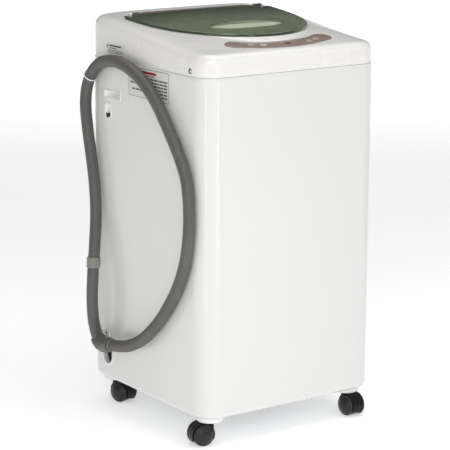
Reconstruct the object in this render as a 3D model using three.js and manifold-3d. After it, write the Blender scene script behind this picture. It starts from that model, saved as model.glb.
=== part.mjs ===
// Portable top load washing machine on four castors, millimetres, +Z up, front facing -Y.
// The origin is on the floor, under the middle of the cabinet.
import * as THREE from "three";
import { mergeVertices } from "three/addons/utils/BufferGeometryUtils.js";
import Module from "manifold-3d";

const wasm = await Module();
wasm.setup();

// ---- driving dimensions ----
const GAP = 0.3; // clearance between touching pieces
const LARGE = 28; // sides of a large round, a small one and a pin
const SMALL = 16;
const PIN = 10;
const WIDTH = 450;
const DEPTH = 450;
const CORNER_R = 45; // upright corners of the cabinet
const BASE_Z = 62; // underside of the cabinet
const SEAM_Z = 777; // joint between cabinet and top cover
const SHEET = 3; // cabinet wall
const CURL = 12; // rounding of the cabinet's lower edge
const REAR_WINDOW = 360; // width of the opening that the rear panel closes
const COVER_INSET = 1.5; // the cover sits this far inside the cabinet's outline
const COVER_WALL = 4;
const EDGE_R = 16; // rounding along the cover's upper edge
const DECK_SLOPE = 0.199; // slope of the control deck at the front
const DECK_RISE = 865.3; // height of the control deck's plane over the origin
const LID_SLOPE = 0.082;
const LID_RISE = 860.9; // height of the lid's plane over the origin
const LID_CROWN = 1.4e-4; // the lid drops by this times x squared
const LID_HALF = 191;
const LID_REAR = 126;
const LID_FRONT = -157;
const LID_EDGE = 5; // depth of the lid's rim
const LID_SKIN = 3;
const SCOOP = { y: -52, half: 92, reach: 35, depth: 16 }; // finger recess in the lid
const MOUTH_INSET = 22; // the loading mouth is this far inside the lid's outline
const HINGE_Y = LID_REAR + 4.5;
const HINGE_Z = 867.9;
const TUB_R = 197;
const TUB_Z0 = 205;
const TUB_Z1 = 705;
const BASKET_R = 176;
const BASKET_Z0 = 232;
const BASKET_Z1 = 668;
const SHAFT_R = 8;
const ROD_AT = 165; // suspension rods, from the middle in x and in y
const WHEEL_R = 23;
const CASTOR_TRAIL = 20;
const CASTOR_AT = 182;
const BOSS_Z0 = 50;
const HOSE_R = 13;
const ELBOW_R = 15.5;
const LEFT = -WIDTH / 2;

// ---- materials ----
const paint = { color: 0xe9eae6, roughness: 0.3, metalness: 0.05 };
const white = { color: 0xf1efea, roughness: 0.35, metalness: 0 };
const taupe = { color: 0x8c786e, roughness: 0.4, metalness: 0 };
const green = { color: 0x6f8462, roughness: 0.1, metalness: 0, transparent: true, opacity: 0.75 };
const grey = { color: 0x5f5f5a, roughness: 0.6, metalness: 0 };
const black = { color: 0x141414, roughness: 0.35, metalness: 0 };
const steel = { color: 0xb9bcbe, roughness: 0.3, metalness: 0.9 };
const cast = { color: 0x8b8f92, roughness: 0.5, metalness: 0.7 };
const tubPlastic = { color: 0xc9ced0, roughness: 0.5, metalness: 0 };
const blueGrey = { color: 0x9fb0bd, roughness: 0.4, metalness: 0 };
const board = { color: 0x2f6b43, roughness: 0.6, metalness: 0 };
const rubber = { color: 0x1d1d1c, roughness: 0.8, metalness: 0 };

// ---- solids ----
function solid(geometry, x = 0, y = 0, z = 0) {
  const source = geometry.index ? geometry.toNonIndexed() : geometry.clone();
  source.deleteAttribute("normal");
  source.deleteAttribute("uv");
  source.translate(x, y, z);
  const merged = mergeVertices(source, 1e-4);
  return new wasm.Manifold(
    new wasm.Mesh({
      numProp: 3,
      vertProperties: merged.attributes.position.array,
      triVerts: new Uint32Array(merged.index.array),
    }),
  );
}

function geometryOf(shape) {
  const mesh = shape.getMesh();
  return new THREE.BufferGeometry()
    .setAttribute("position", new THREE.BufferAttribute(new Float32Array(mesh.vertProperties), 3))
    .setIndex(new THREE.BufferAttribute(new Uint32Array(mesh.triVerts), 1));
}

function box(x0, x1, y0, y1, z0, z1) {
  const geometry = new THREE.BoxGeometry(x1 - x0, y1 - y0, z1 - z0);
  return solid(geometry, (x0 + x1) / 2, (y0 + y1) / 2, (z0 + z1) / 2);
}

// A round bar along "x", "y" or "z"; r1 makes it a cone.
function bar(axis, r, length, x, y, z, r1 = r, sides = SMALL) {
  const geometry = new THREE.CylinderGeometry(r1, r, length, sides);
  if (axis === "z") geometry.rotateX(Math.PI / 2);
  if (axis === "x") geometry.rotateZ(-Math.PI / 2);
  return solid(geometry, x, y, z);
}

// A body turned about Z from [radius, height] points, anticlockwise, that end on the axis or close
// on themselves.
function turned(points, sides = SMALL) {
  const profile = points.map(([r, z]) => new THREE.Vector2(r, z));
  return solid(new THREE.LatheGeometry(profile, sides).rotateX(Math.PI / 2));
}

function ring(r0, r1, z0, z1, sides = LARGE) {
  return turned([[r0, z0], [r1, z0], [r1, z1], [r0, z1], [r0, z0]], sides);
}

function extruded(shape, z0, z1, curveSegments = 3, bevel = {}) {
  const options = { depth: z1 - z0, bevelEnabled: false, curveSegments, ...bevel };
  return solid(new THREE.ExtrudeGeometry(shape, options), 0, 0, z0);
}

function joined(first, ...rest) {
  return rest.reduce((sum, piece) => sum.add(piece), first);
}

function cut(first, ...rest) {
  return rest.reduce((left, piece) => left.subtract(piece), first);
}

// ---- outlines ----
function roundedRect(width, depth, r, cx = 0, cy = 0) {
  const [x, y] = [width / 2, depth / 2];
  const shape = new THREE.Shape();
  shape.moveTo(cx - x + r, cy - y);
  shape.absarc(cx + x - r, cy - y + r, r, -Math.PI / 2, 0);
  shape.absarc(cx + x - r, cy + y - r, r, 0, Math.PI / 2);
  shape.absarc(cx - x + r, cy + y - r, r, Math.PI / 2, Math.PI);
  shape.absarc(cx - x + r, cy - y + r, r, Math.PI, 1.5 * Math.PI);
  return shape;
}

// The cabinet's plan, inset all round.
function cabinetPlan(inset) {
  return roundedRect(WIDTH - 2 * inset, DEPTH - 2 * inset, CORNER_R - inset);
}

// The lid's D-shaped plan: a straight rear edge and a rounded front, inset all round.
const FRONT_FULLNESS = 2.7;
const SIDE_FULLNESS = 1.84;
function lidPlan(inset, steps = 14) {
  const half = LID_HALF - inset;
  const rear = LID_REAR - inset;
  const reach = rear - (LID_FRONT + inset);
  const points = [];
  for (let i = 0; i <= 2 * steps; i++) {
    const turn = (Math.PI * i) / (2 * steps);
    const forward = Math.pow(Math.sin(turn), 2 / FRONT_FULLNESS);
    const sideways = Math.sign(steps - i) * Math.pow(Math.abs(Math.cos(turn)), 2 / SIDE_FULLNESS);
    points.push(new THREE.Vector2(-half * sideways, rear - reach * forward));
  }
  return new THREE.Shape(points);
}

// ---- the cover's top surface ----
const CENTRE_LINE = [[-225, 820], [-204, 824.7], [-168, 831.9], [-145, 838], [-100, 845.3],
  [0, 853.5], [108, 862.4], [225, 868.5]];
const SIDE_LINE = [[-225, 821], [-161, 824], [-118, 828], [-74, 833], [-5, 843],
  [81, 853], [150, 859], [225, 861]];

// The height at y on a line given by [y, z] points.
function along(line, y) {
  const next = Math.max(1, line.findIndex(([at]) => at >= Math.min(y, DEPTH / 2)));
  const [[y0, z0], [y1, z1]] = [line[next - 1], line[next]];
  return z0 + ((z1 - z0) * (y - y0)) / (y1 - y0);
}

// Distance from (x, y) to the cover's outline, positive inside.
function insideBy(x, y) {
  const r = CORNER_R - COVER_INSET;
  const dx = Math.abs(x) - (WIDTH / 2 - COVER_INSET - r);
  const dy = Math.abs(y) - (DEPTH / 2 - COVER_INSET - r);
  return r - Math.hypot(Math.max(dx, 0), Math.max(dy, 0)) - Math.min(Math.max(dx, dy), 0);
}

function coverHeight(x, y) {
  const plateau = 1 - Math.pow(Math.min(1, Math.abs(x) / 215), 6);
  const side = along(SIDE_LINE, y);
  const flat = side + (along(CENTRE_LINE, y) - side) * plateau;
  const inside = Math.min(EDGE_R, Math.max(0, insideBy(x, y)));
  return flat - EDGE_R + Math.sqrt(EDGE_R ** 2 - (EDGE_R - inside) ** 2);
}

function lidHeight(x, y) {
  return LID_RISE + LID_SLOPE * y - LID_CROWN * x * x;
}

// A block from z0 up to a height given by a formula, on a grid that is finer near its edges.
function block(height, z0, lift = 0, steps = 12, half = WIDTH / 2 + 1) {
  const geometry = new THREE.BoxGeometry(2, 2, 2, steps, steps, 1);
  const at = geometry.attributes.position;
  for (let i = 0; i < at.count; i++) {
    const x = half * Math.sin((at.getX(i) * Math.PI) / 2);
    const y = half * Math.sin((at.getY(i) * Math.PI) / 2);
    at.setXYZ(i, x, y, at.getZ(i) > 0 ? height(x, y) + lift : z0);
  }
  return solid(geometry);
}

// ---- scene helpers ----
const machine = new THREE.Group();

function add(name, shape, material, place = {}) {
  const mesh = new THREE.Mesh(geometryOf(shape), new THREE.MeshStandardMaterial(material));
  mesh.name = name;
  mesh.position.set(place.x ?? 0, place.y ?? 0, place.z ?? 0);
  mesh.rotation.set(place.tilt ?? 0, 0, place.turn ?? 0, "ZYX");
  machine.add(mesh);
  return mesh;
}

// ---- cabinet ----
const GRIP = { y: 122, z: 703, width: 60, height: 27, depth: 20 };
const SLOT = { y: 139.5, z: 665, width: 25, height: 34, depth: 14 };
const OUTLET = { y: 150, z: 127, width: 36, height: 56 };

function sideHole(width, height, y, z, x0, x1) {
  const shape = roundedRect(height, width, Math.min(width, height) / 2 - 0.5);
  const options = { depth: x1 - x0, bevelEnabled: false, curveSegments: 3 };
  return solid(new THREE.ExtrudeGeometry(shape, options).rotateY(Math.PI / 2), x0, y, z);
}

function cabinetWrapper() {
  const lower = { bevelEnabled: true, bevelThickness: CURL, bevelSize: CURL, bevelSegments: 2 };
  const outer = extruded(cabinetPlan(CURL), BASE_Z + CURL, SEAM_Z + 20, 3, lower);
  const hollow = extruded(cabinetPlan(CURL), BASE_Z + CURL, SEAM_Z + 20, 3, {
    bevelEnabled: true,
    bevelThickness: CURL - SHEET,
    bevelSize: CURL - SHEET,
    bevelSegments: 2,
  });
  const underside = extruded(cabinetPlan(CURL + 4), BASE_Z - 1, BASE_Z + CURL);
  const above = box(-WIDTH, WIDTH, -DEPTH, DEPTH, SEAM_Z - GAP, SEAM_Z + 60);
  const half = REAR_WINDOW / 2;
  const window = box(-half, half, DEPTH / 2 - 20, DEPTH, BASE_Z + 40, SEAM_Z + 1);
  let shell = cut(outer, hollow, underside, above);
  for (const side of [-1, 1]) {
    const wall = side * (WIDTH / 2);
    const [x0, x1] = [Math.min(wall, wall - side * 10) - 1, Math.max(wall, wall - side * 10) + 1];
    shell = shell.subtract(sideHole(GRIP.width, GRIP.height, GRIP.y, GRIP.z, x0, x1));
    for (const end of [-1, 1]) {
      const gusset = box(-85, 85, -9, 9, SEAM_Z - 39, SEAM_Z - 35);
      const turn = side * end > 0 ? -45 : 45;
      const seated = gusset.rotate([0, 0, turn]).translate([side * ROD_AT, end * ROD_AT, 0]);
      const bracket = seated.subtract(bar("z", 5, 20, side * ROD_AT, end * ROD_AT, SEAM_Z - 37));
      shell = shell.add(bracket.intersect(extruded(cabinetPlan(1), SEAM_Z - 60, SEAM_Z - 20)));
    }
  }
  return shell
    .subtract(window)
    .subtract(sideHole(OUTLET.width, OUTLET.height, OUTLET.y, OUTLET.z, LEFT - 1, LEFT + 10))
    .subtract(sideHole(SLOT.width, SLOT.height, SLOT.y, SLOT.z, LEFT - 1, LEFT + 10));
}

// A cup pressed into the side wall, with a thin lip outside it.
function sideCup(side, at, lip) {
  const wall = (side * WIDTH) / 2;
  const span = (a, b) => {
    const ends = [wall - side * a, wall - side * b];
    return [Math.min(...ends), Math.max(...ends)];
  };
  const body = sideHole(at.width - 2 * GAP, at.height - 2 * GAP, at.y, at.z, ...span(-GAP, at.depth));
  const flange = sideHole(at.width + lip, at.height + lip, at.y, at.z, ...span(-GAP, -1.8));
  const hollow = sideHole(at.width - 6, at.height - 6, at.y, at.z, ...span(-5, at.depth - 3));
  return joined(body, flange).subtract(hollow);
}

function rearPanel() {
  const half = REAR_WINDOW / 2 - GAP;
  const rear = DEPTH / 2;
  const plate = box(-half, half, rear - SHEET, rear, BASE_Z + 40 + GAP, SEAM_Z - GAP);
  const ribs = [0, 1, 2].map((i) => box(-130, 130, rear - SHEET - 3, rear - 1, 180 + 60 * i, 192 + 60 * i));
  const gland = bar("y", 9.5, 20, 120, rear, 150);
  return joined(plate, ...ribs).subtract(gland);
}

function baseFrame() {
  const z0 = BASE_Z + SHEET + GAP;
  const plate = extruded(cabinetPlan(CURL + 6), z0, z0 + 4);
  const wall = cut(
    extruded(cabinetPlan(CURL + 6), z0, z0 + 26),
    extruded(cabinetPlan(CURL + 9), z0 - 1, z0 + 30),
  );
  const opening = bar("z", 120, 40, 0, 0, z0);
  return joined(plate, wall).subtract(opening);
}

// ---- top cover and controls ----
const FASCIA_Y = -180;
const TILT = Math.atan(DECK_SLOPE);

function crescent(grow = 0) {
  const shape = new THREE.Shape();
  const g = grow;
  shape.moveTo(-133 - g, 18);
  shape.quadraticCurveTo(-140 - g, 6, -120 - g, -3 - g);
  shape.quadraticCurveTo(-60, -25 - g, 0, -25 - g);
  shape.quadraticCurveTo(60, -25 - g, 120 + g, -3 - g);
  shape.quadraticCurveTo(140 + g, 6, 133 + g, 18);
  shape.quadraticCurveTo(128 + g, 33 + g, 108, 34 + g);
  shape.quadraticCurveTo(100, 32 + g, 84, 23 + g);
  shape.quadraticCurveTo(50, 12 + g, 0, 12 + g);
  shape.quadraticCurveTo(-50, 12 + g, -84, 23 + g);
  shape.quadraticCurveTo(-100, 32 + g, -108, 34 + g);
  shape.quadraticCurveTo(-128 - g, 33 + g, -133 - g, 18);
  return shape;
}

const BUTTONS = [
  ["button_power", -78, 5],
  ["button_start", -52, -4],
  ["button_water_level", 67, -3],
  ["button_program", 90, 6],
];
const BUTTON = { half: 9, short: 5.5, top: 2, foot: -9 };

function oval(x, y, grow, z0, z1) {
  const shape = new THREE.Shape().absellipse(x, y, BUTTON.half + grow, BUTTON.short + grow, 0, 2 * Math.PI);
  return extruded(shape, z0, z1, 8);
}

function onDeck(shape) {
  const tilted = shape.rotate([THREE.MathUtils.radToDeg(TILT), 0, 0]);
  return tilted.translate([0, FASCIA_Y, DECK_RISE + DECK_SLOPE * FASCIA_Y]);
}

function controlFascia() {
  const plate = extruded(crescent(), -1.8, 0.9, 3);
  const window = oval(8, -5, 8, -3, 3);
  return cut(plate, window, ...BUTTONS.map(([, x, y]) => oval(x, y, 0.5, -3, 3)));
}

function topCover() {
  const plan = extruded(cabinetPlan(COVER_INSET), SEAM_Z, 900);
  const outer = plan.intersect(block(coverHeight, SEAM_Z - 1));
  const inner = extruded(cabinetPlan(COVER_INSET + COVER_WALL), SEAM_Z - 2, 900)
    .intersect(block(coverHeight, SEAM_Z - 5, -COVER_WALL));
  const shell = outer.subtract(inner);
  const skirt = cut(
    extruded(lidPlan(MOUTH_INSET - 4), SEAM_Z + 20, 900),
    extruded(lidPlan(MOUTH_INSET), SEAM_Z, 901),
  ).intersect(block(coverHeight, SEAM_Z + 10, -1));
  const mouth = extruded(lidPlan(MOUTH_INSET), SEAM_Z, 901);
  const plinth = extruded(lidPlan(7), SEAM_Z + 20, 900)
    .intersect(block(lidHeight, SEAM_Z + 10, -LID_SKIN - 0.8, 6))
    .subtract(block(coverHeight, SEAM_Z - 5, -COVER_WALL));
  const seat = onDeck(extruded(crescent(0.4), -2.1, 20, 3));
  const holes = BUTTONS.map(([, x, y]) => onDeck(oval(x, y, 0.6, -20, 20)));
  const inlet = bar("y", 15, 20, -90, DEPTH / 2, 812);
  return cut(shell.add(plinth).subtract(mouth).add(skirt), seat, ...holes, inlet);
}

function controlBox() {
  const [y0, y1, z0, z1] = [-217, -172, SEAM_Z + 3, SEAM_Z + 27];
  return cut(box(-125, 125, y0, y1, z0, z1), box(-122, 122, y0 + 3, y1 - 3, z0 + 3, z1 + 1));
}

function controlBoard() {
  return box(-118, 118, -212, -177, SEAM_Z + 20, SEAM_Z + 22);
}

function inletValve() {
  const y = DEPTH / 2;
  const nozzle = joined(bar("y", 13, 30, -90, y - 5, 812), bar("y", 14.5, 6, -90, y - 10, 812));
  return joined(nozzle, box(-112, -68, y - 55, y - 20, 792, 832));
}

function cordGland() {
  const y = DEPTH / 2;
  const body = joined(bar("y", 9.2, 16, 120, y - 1, 150), bar("y", 13, 5, 120, y + 2.5 + GAP, 150));
  return body.subtract(bar("y", 4, 40, 120, y, 150));
}

// ---- lid ----
function scoopPlan(grow) {
  return new THREE.Shape().absellipse(0, SCOOP.y, SCOOP.half + grow, SCOOP.reach + grow, 0, 2 * Math.PI);
}

function lidShell() {
  const top = extruded(lidPlan(0), 780, 900).intersect(block(lidHeight, 800, 0, 6));
  const rim = cut(top, block(lidHeight, 780, -LID_EDGE, 6));
  const hollow = extruded(lidPlan(5), 780, 900).intersect(block(lidHeight, 790, -LID_SKIN, 6));
  const floor = lidHeight(0, SCOOP.y) - SCOOP.depth;
  const recess = extruded(scoopPlan(0), floor, 900, 12);
  const dish = extruded(scoopPlan(LID_SKIN), floor - LID_SKIN, 900, 12)
    .intersect(block(lidHeight, 780, 0, 6));
  const lid = cut(rim, hollow).add(dish);
  const barrels = [-1, 1].flatMap((side) => [
    bar("x", 4.2, 18, side * 160, HINGE_Y, HINGE_Z),
    box(side * 160 - 9, side * 160 + 9, LID_REAR - 4, HINGE_Y, HINGE_Z - 2, HINGE_Z + 1.5),
  ]);
  const bores = [-1, 1].map((side) => bar("x", 2.8, 40, side * 160, HINGE_Y, HINGE_Z));
  return cut(joined(lid, ...barrels), recess, ...bores);
}

function hingeStrip() {
  const body = box(-180, 180, HINGE_Y + 6, HINGE_Y + 16, SEAM_Z + 60, 900)
    .intersect(block(coverHeight, SEAM_Z, 6))
    .subtract(block(coverHeight, SEAM_Z, GAP));
  const arms = [-1, 1].map((side) => box(side * 174 - 3, side * 174 + 3, HINGE_Y, HINGE_Y + 9, 864.2, 868));
  const eyes = [-1, 1].map((side) => bar("x", 4, 6, side * 174, HINGE_Y, HINGE_Z));
  const bores = [-1, 1].map((side) => bar("x", 2.7, 12, side * 174, HINGE_Y, HINGE_Z));
  return cut(joined(body, ...arms, ...eyes), ...bores);
}

// ---- tub, basket and drive ----
function outerTub() {
  const wall = 4;
  const shell = turned([[22, TUB_Z0], [TUB_R - 20, TUB_Z0], [TUB_R, TUB_Z0 + 20], [TUB_R, TUB_Z1],
    [TUB_R - wall, TUB_Z1], [TUB_R - wall, TUB_Z0 + 22], [TUB_R - 22, TUB_Z0 + wall],
    [22, TUB_Z0 + wall], [22, TUB_Z0]], LARGE);
  const corners = [[-1, -1], [1, -1], [-1, 1], [1, 1]];
  const lugs = corners.map(([sx, sy]) => {
    const turn = THREE.MathUtils.radToDeg(Math.atan2(sy, sx));
    const lug = box(-20, 34, -12, 12, 330, 344).rotate([0, 0, turn]);
    return lug.translate([sx * (ROD_AT - 15), sy * (ROD_AT - 15), 0]);
  });
  const bores = corners.map(([sx, sy]) => bar("z", 5.5, 40, sx * ROD_AT, sy * ROD_AT, 337));
  const inside = bar("z", TUB_R - 2, 40, 0, 0, 337, TUB_R - 2, LARGE);
  return cut(shell.add(cut(joined(...lugs), inside)), ...bores);
}

function suspensionRod() {
  return joined(
    bar("z", 4, 448, 0, 0, 524, 4, PIN),
    bar("z", 8, 18, 0, 0, 307, 8, PIN),
    turned([[0, SEAM_Z - 34], [8, SEAM_Z - 34], [8, SEAM_Z - 30], [0, SEAM_Z - 25]], PIN),
  );
}

function spinBasket() {
  const wall = 2;
  const r = BASKET_R;
  const [z0, z1] = [BASKET_Z0, BASKET_Z1];
  return turned([[9.5, 128], [14, 128], [14, z0 - 2], [60, z0 - 2], [r - 18, z0], [r, z0 + 18], [r, z1],
    [r - wall, z1], [r - wall, z0 + 20], [r - 20, z0 + wall], [9.5, z0 + wall], [9.5, 128]], LARGE);
}

function bearingHousing() {
  const body = turned([[15, 118], [30, 118], [44, 140], [44, 190], [70, 198], [70, TUB_Z0 - GAP],
    [15, TUB_Z0 - GAP], [15, 118]]);
  const bracket = box(40, 175, 25, 95, 199, TUB_Z0 - GAP);
  return joined(body, bracket).subtract(bar("z", 15, 200, 0, 0, 180));
}

const MOTOR = { x: 115, y: 60 };
const BELT_Z = 96;
const DRIVE_R = 60;
const MOTOR_R = 20;

function motor() {
  const { x, y } = MOTOR;
  const shape = joined(bar("z", 46, 62, x, y, 159, 46, LARGE), bar("z", 40, 78, x, y, 159.5, 40, LARGE));
  return shape.subtract(bar("z", 6.5, 60, x, y, 126));
}

function pulley(r, bore, x, y) {
  const wheel = turned([[bore, -8], [r + 4, -8], [r + 4, -6], [r, -4], [r, 4], [r + 4, 6], [r + 4, 8],
    [bore, 8], [bore, -8]], 24);
  return wheel.translate([x, y, BELT_Z]);
}

// The belt's outline: two arcs and the straight runs between them.
function beltPlan(extra) {
  const { x, y } = MOTOR;
  const reach = Math.hypot(x, y);
  const heading = Math.atan2(y, x);
  const lean = Math.acos((DRIVE_R - MOTOR_R) / reach);
  const shape = new THREE.Shape();
  shape.absarc(0, 0, DRIVE_R + extra, heading + lean, heading - lean + 2 * Math.PI, false);
  shape.absarc(x, y, MOTOR_R + extra, heading - lean, heading + lean, false);
  return shape;
}

function driveBelt() {
  return cut(
    extruded(beltPlan(3.4), BELT_Z - 3, BELT_Z + 3, 12),
    extruded(beltPlan(0.4), BELT_Z - 5, BELT_Z + 5, 12),
  );
}

function pulsator() {
  const z0 = BASKET_Z0 + 6;
  const disc = turned([[0, z0], [138, z0], [138, z0 + 4], [120, z0 + 8], [42, z0 + 12], [26, z0 + 26],
    [0, z0 + 28]], LARGE);
  const vanes = [0, 60, 120].map((turn) => box(-118, 118, -7, 7, z0 + 4, z0 + 20).rotate([0, 0, turn]));
  return joined(disc, ...vanes).subtract(bar("z", SHAFT_R + GAP, 36, 0, 0, z0 + 4));
}

function drainValve() {
  const body = box(-135, -75, 95, 150, 140, 190);
  const spout = bar("x", 12, 70, -165, 128, 160);
  const neck = bar("z", 14, 20, -105, 118, 195);
  const lower = turned([[0, -5], [20, -5], [20, 5], [0, 5]], SMALL).translate([-105, 118, 137]);
  return joined(body, spout, neck, lower).subtract(bar("x", 8, 100, -190, 128, 160));
}

// ---- castors ----
// Each castor is a hooded ball castor. In its own frame it trails along -X and its axle is along Y,
// with the open, domed face of the wheel on the side +1 or -1.
const CASTORS = [
  ["front_left", -1, -1, -12, -1],
  ["front_right", 1, -1, 92, 1],
  ["rear_left", -1, 1, 106, 1],
  ["rear_right", 1, 1, 160, -1],
];
const HOOD_R = 26.3;
const HOOD_SKIN = 2.3;
const HOOD_BACK = 27;
const WHEEL_BACK = 12;
const RIM_TILT = 16;
const HOOD_SHIFT = 9; // how far wheel and hood sit to the open side of the stem

function castorBoss() {
  const outside = turned([[0, BOSS_Z0], [27, BOSS_Z0], [31, BASE_Z - GAP], [26, BASE_Z - GAP],
    [26, BASE_Z + SHEET], [0, BASE_Z + SHEET]], SMALL);
  return outside.subtract(bar("z", 5.4, 30, 0, 0, BOSS_Z0));
}

function facing(side, shape) {
  return shape.rotate([side > 0 ? -90 : 90, 0, 0]).translate([-CASTOR_TRAIL, side * HOOD_SHIFT, WHEEL_R]);
}

// A bowl behind the wheel, its lower rim tilted so that the back reaches nearer to the floor.
function castorHood(side) {
  const rIn = HOOD_R - HOOD_SKIN;
  const bowl = turned([[0, -HOOD_BACK], [HOOD_R - 4.3, -HOOD_BACK], [HOOD_R, 4.3 - HOOD_BACK],
    [HOOD_R, 6], [rIn, 6], [rIn, 3.5 - HOOD_BACK], [0, 3.5 - HOOD_BACK]], SMALL);
  const hub = turned([[0, 3 - HOOD_BACK], [8, 3 - HOOD_BACK], [8, -WHEEL_BACK - GAP],
    [3.6, -WHEEL_BACK - GAP], [3.6, 7.5], [0, 7.5]], PIN);
  const below = box(-40, 40, -60, 60, -60, 0).rotate([side * RIM_TILT, 0, 0])
    .translate([-CASTOR_TRAIL, side * HOOD_SHIFT, WHEEL_R - 13]);
  const inside = bar("y", rIn, 80, -CASTOR_TRAIL, 0, WHEEL_R, rIn, SMALL);
  const shank = bar("z", 7.5, 19.5, 0, 0, 39.75).subtract(inside);
  return joined(facing(side, joined(bowl, hub)).subtract(below), shank, bar("z", 5, 17, 0, 0, 53.5));
}

function castorWheel(side) {
  return facing(side, turned([[0, 8.5], [4, 8.5], [4, -WHEEL_BACK], [WHEEL_R - 1.5, -WHEEL_BACK],
    [WHEEL_R, 1.5 - WHEEL_BACK], [WHEEL_R, 9], [WHEEL_R - 2.5, 11], [WHEEL_R - 9, 15.5],
    [0, 18.5]], SMALL));
}

function addCastor([name, sx, sy, turn, side]) {
  const at = { x: sx * CASTOR_AT, y: sy * CASTOR_AT };
  const turned = { ...at, turn: THREE.MathUtils.degToRad(turn) };
  add("castor_boss_" + name, castorBoss(), white, at);
  add("castor_hood_" + name, castorHood(side), black, turned);
  add("castor_wheel_" + name, castorWheel(side), black, turned);
}

// ---- drain hose ----
const HOSE_X = LEFT - HOSE_R - 3;
const HOSE_ROUTE = [
  [-247, 153, 155], [-254, 152.5, 176], [-260, 152, 203], [-262, 153, 250], [-258, 155, 312],
  [-250, 159, 378], [-243, 165, 440], [HOSE_X, 173, 503], [HOSE_X, 185, 562], [HOSE_X, 199, 621],
  [HOSE_X, 206, 671], [HOSE_X, 199, 711], [HOSE_X, 176, 746], [HOSE_X, 142, 769], [HOSE_X, 102, 778],
  [HOSE_X, 66, 778], [HOSE_X, 25, 769], [HOSE_X, -27, 746],
  [HOSE_X, -74, 710], [HOSE_X, -116, 664], [HOSE_X, -153, 618], [HOSE_X, -182, 567],
  [HOSE_X, -192, 487], [HOSE_X, -181, 407], [HOSE_X, -156, 347], [HOSE_X, -121, 295],
  [HOSE_X, -75, 243], [-247, -25, 198], [-252, 20, 174], [-257, 56, 165], [-260, 84, 161.5],
  [-262, 104, 159.5], [-264, 124, 158],
];
const HOSE_STEPS = 44;
const CUFF_AT = 0.108; // where the collar sits, as a share of the hose's length
const CUFF_LENGTH = 24;
const HOOK_AT = 0.36;
const END_CUFF = { at: 0.985, length: 40, wall: 4 };

function hoseCurve() {
  return new THREE.CatmullRomCurve3(HOSE_ROUTE.map((p) => new THREE.Vector3(...p)), false, "centripetal");
}

function circle(r, sides) {
  const points = [];
  for (let i = 0; i < sides; i++) {
    const turn = (2 * Math.PI * i) / sides;
    points.push(new THREE.Vector2(r * Math.cos(turn), r * Math.sin(turn)));
  }
  return new THREE.Shape(points);
}

function tube(curve, r, steps, sides) {
  const options = { steps, bevelEnabled: false, extrudePath: curve };
  return solid(new THREE.ExtrudeGeometry(circle(r, sides), options));
}

// A collar around the hose: a short straight ring along the hose's own direction.
function collar(share, length, r0, r1) {
  const curve = hoseCurve();
  const at = curve.getPointAt(share);
  const heading = curve.getTangentAt(share);
  const line = new THREE.LineCurve3(
    at.clone().addScaledVector(heading, -length / 2),
    at.clone().addScaledVector(heading, length / 2),
  );
  const long = new THREE.LineCurve3(
    at.clone().addScaledVector(heading, -length),
    at.clone().addScaledVector(heading, length),
  );
  return tube(line, r1, 1, SMALL).subtract(tube(long, r0, 1, SMALL));
}

function elbowCurve() {
  return new THREE.CatmullRomCurve3([
    new THREE.Vector3(LEFT + 13, 150, 137.5),
    new THREE.Vector3(LEFT, 150, 138),
    new THREE.Vector3(LEFT - 11, 151.5, 141),
    new THREE.Vector3(LEFT - 19, 153, 150),
    new THREE.Vector3(LEFT - 23.5, 153, 161),
  ], false, "centripetal");
}

// The elbow's mouth takes the near end of the hose.
function drainElbow() {
  const mouth = tube(hoseCurve(), HOSE_R + 1.2, HOSE_STEPS, PIN);
  return tube(elbowCurve(), ELBOW_R, 8, SMALL).subtract(mouth);
}

// A plate screwed to the side wall, with a prong against the hose.
function hoseClip() {
  const wall = LEFT - GAP;
  return joined(box(wall - 2, wall, 140, 164, 160, 172), box(wall - 8, wall, 158, 164, 166, 172));
}

// A wire ring around the hose, with a tab on the cabinet's rear upright edge.
function hoseHook() {
  const wall = LEFT - GAP;
  const loop = collar(HOOK_AT, 4, HOSE_R + 1.2, HOSE_R + 3);
  return joined(loop, box(wall - 2.4, wall, 180, 216, 728, 746));
}

machine.name = "top_load_washing_machine";
add("cabinet_wrapper", cabinetWrapper(), paint);
add("rear_panel", rearPanel(), paint);
add("base_frame", baseFrame(), cast);
add("side_grip_left", sideCup(-1, GRIP, 6), white);
add("side_grip_right", sideCup(1, GRIP, 6), white);
add("hook_slot", sideCup(-1, SLOT, 5), white);
add("top_cover", topCover(), white);
add("control_fascia", onDeck(controlFascia()), taupe);
add("indicator_window", onDeck(oval(8, -5, 7.6, -1.8, 1.2)), black);
for (const [name, x, y] of BUTTONS) {
  add(name, onDeck(oval(x, y, 0, BUTTON.foot, BUTTON.top)), taupe);
}
add("control_box", controlBox(), tubPlastic);
add("control_board", controlBoard(), board);
add("hinge_strip", hingeStrip(), taupe);
add("hinge_pin_left", bar("x", 2.3, 27, -164, HINGE_Y, HINGE_Z, 2.3, PIN), steel);
add("hinge_pin_right", bar("x", 2.3, 27, 164, HINGE_Y, HINGE_Z, 2.3, PIN), steel);
add("lid", lidShell(), green);
add("inlet_valve", inletValve(), blueGrey);
add("cord_gland", cordGland(), black);
add("outer_tub", outerTub(), tubPlastic);
add("tub_ring", ring(158, 200, TUB_Z1 + GAP, TUB_Z1 + 16), tubPlastic);
for (const [name, sx, sy] of CASTORS) {
  add("suspension_rod_" + name, suspensionRod(), steel, { x: sx * ROD_AT, y: sy * ROD_AT });
}
add("spin_basket", spinBasket(), steel);
add("balance_ring", ring(156, BASKET_R, BASKET_Z1 + GAP, 698), blueGrey);
add("lint_filter", box(-28, 28, 154, 168, 420, 530), blueGrey);
add("bearing_housing", bearingHousing(), cast);
add("motor", motor(), cast);
const motorShaft = bar("z", 6, 56, MOTOR.x, MOTOR.y, 116);
add("motor_pulley", joined(pulley(MOTOR_R, 1, MOTOR.x, MOTOR.y), motorShaft), steel);
add("drive_pulley", pulley(DRIVE_R, SHAFT_R + GAP, 0, 0), steel);
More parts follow.
